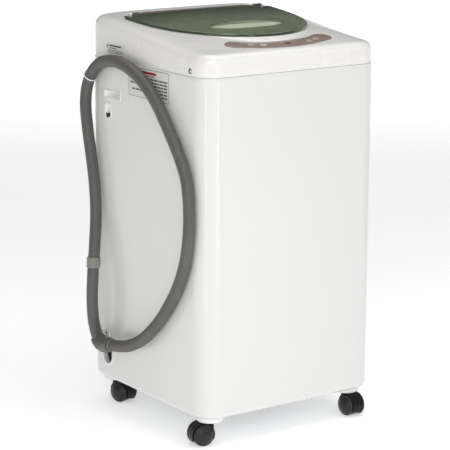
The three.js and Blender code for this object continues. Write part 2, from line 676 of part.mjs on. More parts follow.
add("drive_shaft", bar("z", SHAFT_R, 170, 0, 0, 171), steel);
add("drive_belt", driveBelt(), rubber);
add("pulsator", pulsator(), blueGrey);
add("drain_valve", drainValve(), grey);
CASTORS.forEach(addCastor);
add("drain_elbow", drainElbow(), grey);
add("hose_clip", hoseClip(), white);
add("hose_hook", hoseHook(), blueGrey);
add("drain_hose", tube(hoseCurve(), HOSE_R, HOSE_STEPS, 8), grey);
add("hose_cuff", collar(CUFF_AT, CUFF_LENGTH, HOSE_R + GAP, HOSE_R + 2), grey);
const endCuff = collar(END_CUFF.at, END_CUFF.length, HOSE_R + 0.8, HOSE_R + END_CUFF.wall);
add("hose_end_cuff", endCuff, grey);

export default machine;
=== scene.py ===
from math import acos, atan, atan2, copysign, cos, degrees, dist, hypot, pi, radians, sin, sqrt

import bmesh
import bpy
from mathutils import Matrix, Vector


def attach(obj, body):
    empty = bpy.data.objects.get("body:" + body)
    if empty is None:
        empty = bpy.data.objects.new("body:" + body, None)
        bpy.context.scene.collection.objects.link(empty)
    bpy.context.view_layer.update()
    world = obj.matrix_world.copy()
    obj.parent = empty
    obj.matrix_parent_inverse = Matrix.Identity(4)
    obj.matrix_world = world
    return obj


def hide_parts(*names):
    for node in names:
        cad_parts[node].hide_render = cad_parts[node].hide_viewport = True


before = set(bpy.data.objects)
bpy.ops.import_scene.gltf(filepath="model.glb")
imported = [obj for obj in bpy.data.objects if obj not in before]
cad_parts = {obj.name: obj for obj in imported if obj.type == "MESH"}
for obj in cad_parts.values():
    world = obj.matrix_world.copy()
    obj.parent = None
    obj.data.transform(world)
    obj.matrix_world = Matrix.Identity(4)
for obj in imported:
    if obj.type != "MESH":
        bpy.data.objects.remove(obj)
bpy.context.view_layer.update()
MM = 0.001

# ---- dimensions in millimetres, the same as the frame's ----
HALF = 225.0
CORNER_R = 45.0
BASE_Z, SEAM_Z = 62.0, 777.0
INSET = 1.5
DECK_RISE, DECK_SLOPE = 865.3, 0.199
TILT = atan(DECK_SLOPE)
FASCIA_Y = -180.0
LID_HALF, LID_REAR, LID_FRONT = 191.0, 126.0, -157.0
HINGE_Y, HINGE_Z = 130.5, 867.9
SEAT_DROP = 6.4  # from the lid's top to the seat it rests on
SCOOP_Y, SCOOP_HALF, SCOOP_REACH = -52.0, 92.0, 35.0
WHEEL_R, TRAIL, CASTOR_AT = 23.0, 20.0, 182.0
RIM_TILT, RIM_Z, HOOD_SHIFT = 16.0, 10.0, 9.0
HOSE_R = 13.0
MOTOR_AT, PULLEY_Z, DRIVE_R, MOTOR_R = (115, 60), 96, 60, 20
ROD_AT, DRUM_OUT, DRUM_IN = 165, 175.8, 174.2
INLET_X, INLET_Z, GLAND_X, GLAND_Z = -90, 812, 120, 150
WINDOW_AT = (8, -5)
CENTRE_LINE = [(-225, 820), (-204, 824.7), (-168, 831.9), (-145, 837), (-100, 844.4), (0, 853.0),
               (108, 861.8), (225, 867.5)]
SIDE_LINE = [(-225, 821), (-161, 824), (-118, 828), (-74, 833), (-5, 843), (81, 853), (150, 859), (225, 861)]
BUTTONS = {"button_power": (-78, 5), "button_start": (-52, -4), "button_water_level": (67, -3),
           "button_program": (90, 6)}
CASTORS = {  # corner: side in X, side in Y, swivel in degrees, side of the axle with the open wheel face
    "front_left": (-1, -1, -12, -1), "front_right": (1, -1, 92, 1),
    "rear_left": (-1, 1, 106, 1), "rear_right": (1, 1, 160, -1),
}


# ---- camera ----
AZIMUTH, ELEVATION, ROLL = -35.42, 12.92, 0.281
LENS, SENSOR, DISTANCE = 155.7, 36.0, 4.2354
AIM = (-0.01577, 0.0, 0.41283)


def add_camera():
    azimuth, elevation, roll = radians(AZIMUTH), radians(ELEVATION), radians(ROLL)
    back = Vector((sin(azimuth) * cos(elevation), -cos(azimuth) * cos(elevation), sin(elevation)))
    right = Vector((cos(azimuth), sin(azimuth), 0))
    up = back.cross(right)
    turned_right = cos(roll) * right + sin(roll) * up
    turned_up = -sin(roll) * right + cos(roll) * up
    data = bpy.data.cameras.new("camera")
    data.lens, data.sensor_width = LENS, SENSOR
    data.clip_end = 30
    camera = bpy.data.objects.new("camera", data)
    rotation = Matrix((turned_right, turned_up, back)).transposed().to_4x4()
    place = Vector(AIM) + back * DISTANCE
    camera.matrix_world = Matrix.Translation(place) @ rotation
    bpy.context.collection.objects.link(camera)
    bpy.context.scene.camera = camera


add_camera()


# ---- materials ----
class Nodes:
    """A short way to build a material's node tree."""

    def __init__(self, name):
        self.material = bpy.data.materials.new(name)
        self.material.use_nodes = True
        self.tree = self.material.node_tree
        self.shader = self.tree.nodes["Principled BSDF"]
        self.coords = self.tree.nodes.new("ShaderNodeTexCoord").outputs["Object"]

    def node(self, kind, inputs=None, **settings):
        made = self.tree.nodes.new(kind)
        for key, value in settings.items():
            setattr(made, key, value)
        for key, value in (inputs or {}).items():
            if isinstance(value, bpy.types.NodeSocket):
                self.tree.links.new(value, made.inputs[key])
            else:
                made.inputs[key].default_value = value
        return made

    def noise(self, scale, detail=3, stretch=(1, 1, 1)):
        mapped = self.node("ShaderNodeMapping", {"Vector": self.coords, "Scale": stretch})
        return self.node("ShaderNodeTexNoise", {"Vector": mapped.outputs[0], "Scale": scale,
                "Detail": detail}).outputs["Fac"]

    def span(self, value, low, high, start=0.3, end=0.7):
        return self.node("ShaderNodeMapRange", {"Value": value, "From Min": start, "From Max": end,
                "To Min": low, "To Max": high}).outputs[0]

    def mix(self, factor, a, b):
        made = self.node("ShaderNodeMix", {"Factor": factor}, data_type="RGBA")
        for socket, value in ((made.inputs[6], a), (made.inputs[7], b)):
            if isinstance(value, bpy.types.NodeSocket):
                self.tree.links.new(value, socket)
            else:
                socket.default_value = (*value, 1)
        return made.outputs[2]

    def put(self, values):
        for socket, value in values.items():
            self.shader.inputs[socket].default_value = value

    def wire(self, socket, value):
        self.tree.links.new(value, self.shader.inputs[socket])

    def bump(self, height, strength, distance, under=None):
        inputs = {"Height": height, "Strength": strength, "Distance": distance}
        if under is not None:
            inputs["Normal"] = under
        return self.node("ShaderNodeBump", inputs).outputs[0]


def plastic(name, color, darker, rough, grain=900.0, grain_depth=0.00004, coat=0.0, patch=7.0, metal=0.0,
            gloss=0.5):
    """Moulded or painted surface: faint mottling, worn sheen and a fine grain."""
    n = Nodes(name)
    large, fine = n.noise(patch, 4), n.noise(grain, 2)
    n.wire("Base Color", n.mix(n.span(large, 0, 1), color, darker))
    n.wire("Roughness", n.span(n.noise(patch * 5, 5), rough - 0.03, rough + 0.03))
    n.put({"Metallic": metal, "Specular IOR Level": gloss, "Coat Weight": coat, "Coat Roughness": 0.12})
    under = n.bump(n.noise(28, 2), 0.02, 0.001)
    n.wire("Normal", n.bump(fine, 0.25, grain_depth, under))
    return n.material


def brushed(name, color, rough, stretch, scale=60.0):
    """Drawn or turned metal: fine lines along one direction, with smudges."""
    n = Nodes(name)
    lines = n.noise(scale, 4, stretch)
    n.wire("Base Color", n.mix(n.span(n.noise(9, 4), 0, 1), color, tuple(c * 0.8 for c in color)))
    n.wire("Roughness", n.span(lines, rough - 0.08, rough + 0.12))
    n.put({"Metallic": 1.0})
    n.wire("Normal", n.bump(lines, 0.2, 0.0001))
    return n.material


def clear_green(name, color, clear, rough):
    n = Nodes(name)
    tone = n.mix(n.span(n.noise(5, 3), 0, 1), color, tuple(c * 0.95 for c in color))
    back = n.node("ShaderNodeSeparateXYZ", {"Vector": n.coords}).outputs["Y"]
    # painted shade: towards the rear edge the base colour darkens to less than half, standing in for the
    # shade that falls on the back of the lid
    n.wire("Base Color", n.mix(n.span(back, 0, 1, 0.0, 0.115), tone, tuple(c * 0.45 for c in color)))
    n.wire("Roughness", n.span(n.noise(40, 5), rough, rough + 0.05))
    n.put({"Transmission Weight": clear, "IOR": 1.35})
    n.wire("Normal", n.bump(n.noise(22, 2), 0.05, 0.001))
    return n.material


def hose_grey():
    n = Nodes("hose_polymer")
    tone = n.mix(n.span(n.noise(3.5, 4), 0, 1), (0.118, 0.114, 0.106), (0.088, 0.086, 0.081))
    scuffs = n.span(n.noise(60, 6, (1, 1, 0.3)), 0, 0.5, 0.56, 0.75)
    n.wire("Base Color", n.mix(scuffs, tone, (0.19, 0.185, 0.175)))
    n.wire("Roughness", n.span(n.noise(35, 5), 0.36, 0.52))
    n.put({"Specular IOR Level": 0.55})
    n.wire("Normal", n.bump(n.noise(700, 2), 0.3, 0.00005))
    return n.material


def floor_white():
    n = Nodes("floor_white")
    height = n.node("ShaderNodeSeparateXYZ", {"Vector": n.coords}).outputs["Z"]
    pale = n.mix(n.span(n.noise(1.5, 2), 0, 1), (0.93, 0.93, 0.93), (0.92, 0.92, 0.92))
    n.wire("Base Color", n.mix(n.span(height, 0, 1, 0.9, 1.5), pale, (0.05, 0.05, 0.05)))
    rising = n.span(height, 0.42, 0.72, 0.0, 0.3)
    fading = n.span(height, 1, 0, 0.9, 1.5)
    glow = n.node("ShaderNodeMath", {0: rising, 1: fading})
    glow.operation = "MULTIPLY"
    n.wire("Emission Strength", glow.outputs[0])
    n.put({"Emission Color": (1, 1, 1, 1), "Roughness": 0.75, "Specular IOR Level": 0.15})
    return n.material


ENAMEL = plastic("cabinet_enamel", (0.8, 0.805, 0.785), (0.79, 0.795, 0.775), 0.24, 500, 0.00001, 0.5, 3.0)
SHELL = plastic("cover_white", (0.86, 0.85, 0.83), (0.857, 0.847, 0.827), 0.28, 900, 0.00001, 0.35, 4.0)
BRIGHT = plastic("fitting_bright", (0.9, 0.9, 0.88), (0.86, 0.86, 0.84), 0.3, 900, 0.00002, 0.3)
PALE_GREY = plastic("ring_pale_grey", (0.3, 0.3, 0.285), (0.26, 0.26, 0.25), 0.4)
CUFF_GREY = plastic("cuff_grey", (0.27, 0.262, 0.235), (0.22, 0.214, 0.19), 0.36, 900, 0.00003, 0.2)
# painted shade: an opaque dark green for the dark lines that the clear lid's edges and its recess rim show
LID_EDGE_SHADE_GREEN = plastic("lid_edge_shade_green", (0.035, 0.05, 0.035), (0.03, 0.042, 0.03), 0.2, 1400, 0.00001, 0.4)
WHITE = plastic("fitting_white", (0.78, 0.78, 0.755), (0.73, 0.73, 0.7), 0.38)
TAUPE = plastic("taupe_satin", (0.33, 0.25, 0.21), (0.3, 0.225, 0.19), 0.34, 1400, 0.00003, 0.2, 14.0)
TAUPE_DARK = plastic("taupe_dark", (0.12, 0.092, 0.08), (0.1, 0.075, 0.064), 0.4)
KEY_PINK = plastic("key_rose", (0.56, 0.43, 0.39), (0.5, 0.38, 0.34), 0.3, 1400, 0.00002, 0.3)
KEY_PALE = plastic("key_pale", (0.6, 0.57, 0.54), (0.54, 0.51, 0.48), 0.3, 1400, 0.00002, 0.3)
KEY_GREEN = plastic("key_sage", (0.42, 0.47, 0.36), (0.37, 0.42, 0.31), 0.3, 1400, 0.00002, 0.3)
WINDOW = plastic("window_smoked", (0.1, 0.075, 0.065), (0.08, 0.06, 0.052), 0.14, 1400, 0.00001, 0.5)
BLACK = plastic("castor_black", (0.006, 0.006, 0.006), (0.009, 0.0087, 0.0083), 0.3, 700, 0.00002, 0.0, 30.0,
                0.0, 0.2)
BOSS_WHITE = plastic("boss_white", (0.88, 0.88, 0.86), (0.86, 0.86, 0.84), 0.3, 900, 0.00002, 0.3)
WHEEL_BLACK = plastic("wheel_black", (0.016, 0.016, 0.016), (0.02, 0.019, 0.018), 0.34, 900, 0.00001, 0.0,
                      20.0, 0.0, 0.36)
TREAD = plastic("tread_black", (0.016, 0.016, 0.016), (0.03, 0.028, 0.026), 0.42, 500, 0.00008, 0.0, 40.0)
RUBBER = plastic("belt_rubber", (0.02, 0.02, 0.02), (0.032, 0.031, 0.03), 0.62, 600, 0.0001, 0.0, 40.0)
# painted shade in holes: the hook slot's hole, the cover screw's well and the basket's hole floors; the hose
# clip's screw also uses it
DARK = plastic("recess_dark", (0.012, 0.012, 0.012), (0.02, 0.02, 0.02), 0.6)
TUB_PP = plastic("tub_polypropylene", (0.6, 0.63, 0.64), (0.54, 0.57, 0.585), 0.45, 350, 0.0001, 0.0, 6.0)
BLUE_GREY = plastic("insert_blue_grey", (0.36, 0.45, 0.52), (0.32, 0.41, 0.48), 0.34, 900, 0.00003, 0.2, 9.0)
BOARD = plastic("board_green", (0.03, 0.15, 0.06), (0.024, 0.12, 0.05), 0.4, 300, 0.0001)
GALV = plastic("galvanised", (0.5, 0.52, 0.54), (0.4, 0.42, 0.44), 0.42, 90, 0.0002, 0.0, 45.0, 0.85)
STEEL = brushed("steel_ground", (0.62, 0.63, 0.64), 0.28, (1, 1, 25))
DRUM = brushed("steel_drawn", (0.58, 0.6, 0.61), 0.24, (1, 1, 18), 90)
PAPER = plastic("label_paper", (0.78, 0.78, 0.74), (0.75, 0.75, 0.71), 0.4, 600, 0.00002, 0.1, 25.0)
INK = plastic("label_ink", (0.035, 0.035, 0.035), (0.06, 0.06, 0.06), 0.45)
INK_RED = plastic("label_red", (0.45, 0.03, 0.035), (0.38, 0.03, 0.03), 0.45)
INK_YELLOW = plastic("label_yellow", (0.45, 0.38, 0.08), (0.4, 0.33, 0.06), 0.45)
GREEN = clear_green("lid_clear", (0.66, 0.74, 0.55), 0.8, 0.03)
# painted light: the finger recess gets a paler, less clear copy of the lid's green, standing in for the light
# on the recess floor
LIT_SCOOP_GREEN = clear_green("lid_scoop_lit", (0.84, 0.9, 0.74), 0.35, 0.1)
HOSE = hose_grey()


# ---- mesh helpers, in millimetres ----
def piece(name, points, faces, body, materials, stands_for=(), bevel=0.0, subdivide=0, smooth=40.0,
          pick=None):
    materials = materials if isinstance(materials, (list, tuple)) else [materials]
    mesh = bpy.data.meshes.new(name)
    mesh.from_pydata([tuple(c * MM for c in p) for p in points], [], faces)
    bm = bmesh.new()
    bm.from_mesh(mesh)
    bmesh.ops.remove_doubles(bm, verts=bm.verts, dist=1e-6)
    bmesh.ops.recalc_face_normals(bm, faces=bm.faces)
    for face in bm.faces:
        face.smooth = True
        if pick:
            face.material_index = pick(face.calc_center_median() / MM, face.normal)
    bm.to_mesh(mesh)
    bm.free()
    for material in materials:
        mesh.materials.append(material)
    mesh.set_sharp_from_angle(angle=radians(smooth))
    made = bpy.data.objects.new(name, mesh)
    bpy.context.collection.objects.link(made)
    if bevel:
        rounding = made.modifiers.new("rounding", "BEVEL")
        rounding.width, rounding.segments, rounding.limit_method = bevel * MM, 3, "ANGLE"
        rounding.angle_limit = radians(35)
        rounding.harden_normals = True
    if subdivide:
        smoothing = made.modifiers.new("smoothing", "SUBSURF")
        smoothing.levels = smoothing.render_levels = subdivide
    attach(made, body)
    if stands_for:
        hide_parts(*stands_for)
    return made


def skin(rings, loop=True, wrap=False, cap_first=False, cap_last=False):
    """Quads between successive rings of the same number of points; wrap joins the last ring to the first."""
    count = len(rings[0])
    points = [p for ring in rings for p in ring]
    faces = []
    pairs = [(i, i + 1) for i in range(len(rings) - 1)] + ([(len(rings) - 1, 0)] if wrap else [])
    for a, b in pairs:
        for j in range(count if loop else count - 1):
            k = (j + 1) % count
            faces.append((a * count + j, a * count + k, b * count + k, b * count + j))
    for first, wanted in ((0, cap_first), (len(rings) - 1, cap_last)):
        if wanted:
            ring = rings[first]
            points.append(tuple(sum(p[i] for p in ring) / count for i in range(3)))
            centre = len(points) - 1
            faces += [(first * count + j, first * count + (j + 1) % count, centre) for j in range(count)]
    return points, faces


def solid(rings):
    """Successive rings closed at both ends."""
    return skin(rings, cap_first=True, cap_last=True)


def at_height(ring, z):
    """A flat (x, y) outline at one height."""
    return [(x, y, z) for x, y in ring]


def draped(ring, height, lift=0.0):
    """A flat outline laid on a surface, or that much over it."""
    return [(x, y, height(x, y) + lift) for x, y in ring]


def prism(ring, z0, z1):
    return solid([at_height(ring, z) for z in (z0, z1)])


def moved(x, y, z):
    return Matrix.Translation((x, y, z))


def turned(angle, axis):
    """A turn in degrees about one of the frame's axes."""
    return Matrix.Rotation(radians(angle), 4, axis)


def full_turn(count):
    """Equal steps round a circle, in radians."""
    return [2 * pi * i / count for i in range(count)]


def merged(*parts):
    points, faces = [], []
    for some_points, some_faces in parts:
        start = len(points)
        points += some_points
        faces += [tuple(i + start for i in face) for face in some_faces]
    return points, faces


def placed(part, matrix):
    return [tuple(matrix @ Vector(p)) for p in part[0]], part[1]


def lathe(profile, sides=64, closed=False):
    """Turns (radius, height) points about Z."""
    rings = []
    for r, z in profile:
        rings.append([(r * cos(a), r * sin(a), z) for a in full_turn(sides)])
    return skin(rings, wrap=closed)


def rounded(profile, r, steps=4):
    """Rounds the corners of an open (radius, height) profile."""
    result = [profile[0]]
    for before, at, after in zip(profile, profile[1:], profile[2:]):
        a, p, b = Vector(before), Vector(at), Vector(after)
        into, out = (a - p), (b - p)
        reach = min(r, into.length * 0.45, out.length * 0.45)
        start, end = p + into.normalized() * reach, p + out.normalized() * reach
        for i in range(steps + 1):
            t = i / steps
            result.append(tuple((1 - t) ** 2 * start + 2 * t * (1 - t) * p + t * t * end))
    return result + [profile[-1]]


def box(x0, x1, y0, y1, z0, z1):
    points = [(x, y, z) for z in (z0, z1) for x, y in ((x0, y0), (x1, y0), (x1, y1), (x0, y1))]
    faces = [(0, 3, 2, 1), (4, 5, 6, 7), (0, 1, 5, 4), (1, 2, 6, 5), (2, 3, 7, 6), (3, 0, 4, 7)]
    return points, faces


def spline(line, at):
    """Smooth curve through (y, z) points."""
    at = min(max(at, line[0][0]), line[-1][0])
    i = max(1, next(k for k, point in enumerate(line) if point[0] >= at or k == len(line) - 1))
    slopes = []
    for k in (i - 1, i):
        a, b = line[max(0, k - 1)], line[min(len(line) - 1, k + 1)]
        slopes.append((b[1] - a[1]) / (b[0] - a[0]))
    (y0, z0), (y1, z1) = line[i - 1], line[i]
    h = y1 - y0
    t = (at - y0) / h
    return ((2 * t ** 3 - 3 * t ** 2 + 1) * z0 + (t ** 3 - 2 * t ** 2 + t) * h * slopes[0]
            + (3 * t ** 2 - 2 * t ** 3) * z1 + (t ** 3 - t ** 2) * h * slopes[1])


def route(points, step):
    """Points about step apart on a smooth curve through the given ones, with the length along it."""
    pts = [Vector(p) for p in points]
    pts = [2 * pts[0] - pts[1]] + pts + [2 * pts[-1] - pts[-2]]
    dense = []
    for i in range(1, len(pts) - 2):
        p0, p1, p2, p3 = pts[i - 1:i + 3]
        t0 = 0.0
        t1 = t0 + (p1 - p0).length ** 0.5
        t2 = t1 + (p2 - p1).length ** 0.5
        t3 = t2 + (p3 - p2).length ** 0.5
        for k in range(24):
            t = t1 + (t2 - t1) * k / 24
            a1 = p0 * ((t1 - t) / (t1 - t0)) + p1 * ((t - t0) / (t1 - t0))
            a2 = p1 * ((t2 - t) / (t2 - t1)) + p2 * ((t - t1) / (t2 - t1))
            a3 = p2 * ((t3 - t) / (t3 - t2)) + p3 * ((t - t2) / (t3 - t2))
            b1 = a1 * ((t2 - t) / (t2 - t0)) + a2 * ((t - t0) / (t2 - t0))
            b2 = a2 * ((t3 - t) / (t3 - t1)) + a3 * ((t - t1) / (t3 - t1))
            dense.append(b1 * ((t2 - t) / (t2 - t1)) + b2 * ((t - t1) / (t2 - t1)))
    dense.append(pts[-2])
    lengths = [0.0]
    for a, b in zip(dense, dense[1:]):
        lengths.append(lengths[-1] + (b - a).length)
    total, k, result = lengths[-1], 0, []
    count = max(2, round(total / step))
    for i in range(count + 1):
        want = total * i / count
        while k < len(lengths) - 2 and lengths[k + 1] < want:
            k += 1
        share = (want - lengths[k]) / max(1e-9, lengths[k + 1] - lengths[k])
        result.append(dense[k].lerp(dense[k + 1], min(1, share)))
    return result, total


def frames(points):
    """A steady pair of side directions at each point of a path."""
    result = []
    side = None
    for i, p in enumerate(points):
        heading = (points[min(i + 1, len(points) - 1)] - points[max(i - 1, 0)]).normalized()
        if side is None:
            side = heading.orthogonal().normalized()
        side = (side - heading * side.dot(heading)).normalized()
        result.append((p, side, heading.cross(side)))
    return result


def swept(points, radius, sides=32, caps=True):
    """A round tube; radius is a number or a function of the index."""
    rings = []
    for i, (p, a, b) in enumerate(frames(points)):
        r = radius(i) if callable(radius) else radius
        rings.append([tuple(p + (a * cos(t) + b * sin(t)) * r) for t in full_turn(sides)])
    return skin(rings, cap_first=caps, cap_last=caps)


def carve(made, *cutters):
    """Cuts closed (points, faces) shapes out of a piece."""
    for points, faces in cutters:
        mesh = bpy.data.meshes.new("cutter")
        mesh.from_pydata([tuple(c * MM for c in p) for p in points], [], faces)
        bm = bmesh.new()
        bm.from_mesh(mesh)
        bmesh.ops.recalc_face_normals(bm, faces=bm.faces)
        bm.to_mesh(mesh)
        bm.free()
        cutter = bpy.data.objects.new("cutter", mesh)
        bpy.context.collection.objects.link(cutter)
        cutting = made.modifiers.new("cutting", "BOOLEAN")
        cutting.operation, cutting.object, cutting.solver = "DIFFERENCE", cutter, "EXACT"
        bpy.context.view_layer.update()
        shape = bpy.data.meshes.new_from_object(made.evaluated_get(bpy.context.evaluated_depsgraph_get()))
        made.modifiers.clear()
        made.data = shape
        bpy.data.objects.remove(cutter)
    made.data.set_sharp_from_angle(angle=radians(40))
    return made


def sharpen(made, width):
    rounding = made.modifiers.new("rounding", "BEVEL")
    rounding.width, rounding.segments, rounding.limit_method = width * MM, 2, "ANGLE"
    rounding.angle_limit = radians(35)
    return made


# ---- outlines ----
def square_inside(x, y, inset=0.0):
    """Distance inside the cabinet's outline."""
    r = CORNER_R - INSET
    dx, dy = abs(x) - (HALF - INSET - r), abs(y) - (HALF - INSET - r)
    return r - hypot(max(dx, 0), max(dy, 0)) - min(max(dx, dy), 0) - inset


def lid_inside(x, y, inset=0.0):
    """About the distance inside the lid's D-shaped outline."""
    half, rear, front, corner = LID_HALF - inset, LID_REAR - inset, LID_FRONT + inset, 3.0
    straight = rear - y
    reach = max(0.0, straight) / (rear - front)
    level = sqrt((abs(x) / half) ** 1.84 + reach ** 2.7)
    curved = (1 - level) * 150
    return corner - hypot(max(corner - straight, 0), max(corner - curved, 0)) + max(0,
            min(straight, curved) - corner)


HUB = (0.0, -20.0)
TURNS = full_turn(320)


def outline(inside, inset):
    """Points where rays from the hub leave a shape."""
    result = []
    for turn in TURNS:
        c, s = cos(turn), sin(turn)
        low, high = 20.0, 360.0
        for _ in range(26):
            middle = (low + high) / 2
            if inside(HUB[0] + c * middle, HUB[1] + s * middle, inset) > 0:
                low = middle
            else:
                high = middle
        result.append((HUB[0] + c * low, HUB[1] + s * low))
    return result


def plan(inset):
    """Points round the cabinet's outline, anticlockwise from the rear of the right side."""
    per_corner, per_side = 12, 10
    r = max(1.0, CORNER_R - inset)
    mid = HALF - inset - r
    result = []
    for cx, cy, start in ((mid, mid, 0), (-mid, mid, 90), (-mid, -mid, 180), (mid, -mid, 270)):
        for i in range(per_corner + 1):
            turn = radians(start + 90 * i / per_corner)
            result.append((cx + r * cos(turn), cy + r * sin(turn)))
    dense = []
    for i, p in enumerate(result):
        q = result[(i + 1) % len(result)]
        steps = per_side if dist(p, q) > 60 else 1
        dense += [(p[0] + (q[0] - p[0]) * k / steps, p[1] + (q[1] - p[1]) * k / steps) for k in range(steps)]
    return dense


def flat_oval(cx, cy, half, short, count=40, power=2.0):
    result = []
    for a in full_turn(count):
        c, s = cos(a), sin(a)
        result.append((cx + half * copysign(abs(c) ** (2 / power), c),
                       cy + short * copysign(abs(s) ** (2 / power), s)))
    return result


def slab(ring, z0, z1, edge=0.5):
    """A plate of the given outline with a rounded upper edge."""
    cx = sum(p[0] for p in ring) / len(ring)
    cy = sum(p[1] for p in ring) / len(ring)
    reach = max(dist(p, (cx, cy)) for p in ring)

    def shrunk(by):
        return [(cx + (x - cx) * (1 - by / reach), cy + (y - cy) * (1 - by / reach)) for x, y in ring]

    levels = [(0, z0), (0, z1 - edge), (edge * 0.3, z1 - edge * 0.3), (edge, z1)]
    return solid([at_height(shrunk(by), z) for by, z in levels])


DECK = moved(0, FASCIA_Y, DECK_RISE + DECK_SLOPE * FASCIA_Y) @ Matrix.Rotation(TILT, 4, "X")


# ---- hose, elbow and what holds them ----
HOSE_X = -241.0
HOSE_RUN = [  # (y, z) where the hose hangs flat along the left side
    (173, 503), (185, 562), (199, 621), (206, 671), (199, 711), (176, 746), (142, 769), (102, 778), (66, 778),
    (25, 769), (-27, 746), (-74, 710), (-116, 664), (-153, 618), (-182, 567), (-192, 487), (-181, 407),
    (-156, 347), (-121, 295), (-75, 243),
]
HOSE_ROUTE = [
    (-247, 153, 155), (-254, 152.5, 176), (-260, 152, 203), (-262, 153, 250), (-258, 155, 312),
    (-250, 159, 378), (-243, 165, 440), *((HOSE_X, y, z) for y, z in HOSE_RUN),
    (-247, -25, 198), (-252, 20, 174), (-257, 56, 165), (-260, 84, 161.5), (-262, 104, 159.5),
    (-264, 124, 158),
]


def band_around(points, at, r, width, thick):
    """A flat ring about the hose at one of its points."""
    p, a, b = frames(points)[at]
    heading = a.cross(b)
    loops = []
    for turn in full_turn(12):
        ring = []
        for around in full_turn(48):
            out = a * cos(around) + b * sin(around)
            ring.append(tuple(p + out * (r + thick * cos(turn)) + heading * width * sin(turn)))
        loops.append(ring)
    return skin(loops, wrap=True)


def add_hose():
    points, length = route(HOSE_ROUTE, 1.15)
    count = len(points)

    def radius(i):
        at = length * i / (count - 1)
        from_end = min(at, length - at)
        if from_end < 26:
            return HOSE_R + (0.0 if from_end > 1.5 else -0.8)
        ridge = 0.5 + 0.5 * cos(2 * pi * i / 4)
        return HOSE_R - 0.75 + 0.8 * ridge ** 0.7

    hose = piece("drain_hose_ribbed", *swept(points, radius, 40), "root", HOSE, ["drain_hose"], smooth=60)

    def sleeve(name, node, at, half, profile, material):
        around = points[at - half:at + half + 1]
        last = len(around) - 1

        def size(i):
            edge = min(i, last - i)
            return HOSE_R + (profile[edge] if edge < len(profile) else profile[-1])

        return piece(name, *swept(around, size, 40, caps=False), "root", material, [node])

    cuff = sleeve("hose_sleeve", "hose_cuff", round((count - 1) * 0.108), 10, (1.0, 2.1, 2.3), CUFF_GREY)
    end_cuff = sleeve("hose_end_sleeve", "hose_end_cuff", count - 19, 18, (0.9, 2.0, 2.7, 2.9), HOSE)
    collar_ring = piece("hose_end_ring", *band_around(points, count - 43, HOSE_R + 0.5, 1.1, 0.9), "root",
                        PALE_GREY)

    elbow_points, _ = route([(-212, 150, 137.5), (-225, 150, 138), (-236, 151.5, 141), (-244, 153, 150),
            (-248.5, 153, 161)], 1.5)
    last = len(elbow_points) - 1

    def bell(i):
        if i >= last - 2:
            return 16.6 - 0.8 * (i - last + 2)
        return 16.6 if i >= last - 7 else 15.4

    elbow = piece("drain_elbow_moulded", *swept(elbow_points, bell, 40), "root", HOSE, ["drain_elbow"])

    band = band_around(points, round((count - 1) * 0.36), HOSE_R + 1.9, 2.0, 1.1)
    tab = box(-227.7, -225.3, 182, 214, 729, 745)
    hook = piece("hose_hook_ring", *merged(band, tab), "root", WHITE, ["hose_hook"], bevel=0.6)

    plate = [(-225.3 - out, y, z) for out in (0, 1.4, 2.0)
             for y, z in flat_oval(152, 166, 12 - out * 0.4, 6 - out * 0.4, 40, 6)]
    plate = solid([plate[k * 40:k * 40 + 40] for k in range(3)])
    prong = box(-233.3, -225.3, 158, 164, 166, 171.5)
    piece("hose_clip_moulded", *merged(plate, prong), "root", BRIGHT, ["hose_clip"], smooth=50)
    dot = placed(lathe([(0.01, 0.5), (2.4, 0.4), (3.0, -0.2), (0.01, -0.2)], 24),
                 moved(-227.3, 152, 168) @ turned(-90, "Y"))
    piece("hose_clip_screw", *dot, "root", DARK)


add_hose()


# ---- cabinet ----
OUTLET = {"y": 150, "z": 127, "width": 36, "height": 56}
SLOT = {"y": 139.5, "z": 665, "width": 25, "height": 34}


def side_ring(at, grow, x):
    """A rounded opening in a side wall, in the plane x."""
    return [(x, y, z) for y, z in flat_oval(at["y"], at["z"], at["width"] / 2 + grow, at["height"] / 2 + grow,
            48, 2.6)]


def grip_ring(grow, x, scale=1.0):
    """The waisted outline of a hand grip: low behind, narrow in the middle, tall in front."""
    ring = []
    for t, s in flat_oval(0, 0, 1, 1, 56, 5):
        half = 6.6 + (3.0 * t * t if t > 0 else 9.0 * t * t)
        y = 122 + (30 + grow) * t
        z = 702.5 - 2.5 * max(t, 0) - 1.5 * min(t, 0) + (half + grow) * s
        ring.append((x, 104 + (y - 104) * scale, 703 + (z - 703) * scale))
    return ring


def through(ring_at, x0, x1):
    return solid([ring_at(x) for x in (x0, x1)])


def swell_at(x, y):
    """The wrapper's broad faces bow out by under a millimetre."""
    if abs(x) < 180 and abs(y) > 200:
        return 0.5 * (1 - (x / 180) ** 2)
    if abs(y) < 180 and abs(x) > 200:
        return 0.5 * (1 - (y / 180) ** 2)
    return 0.0


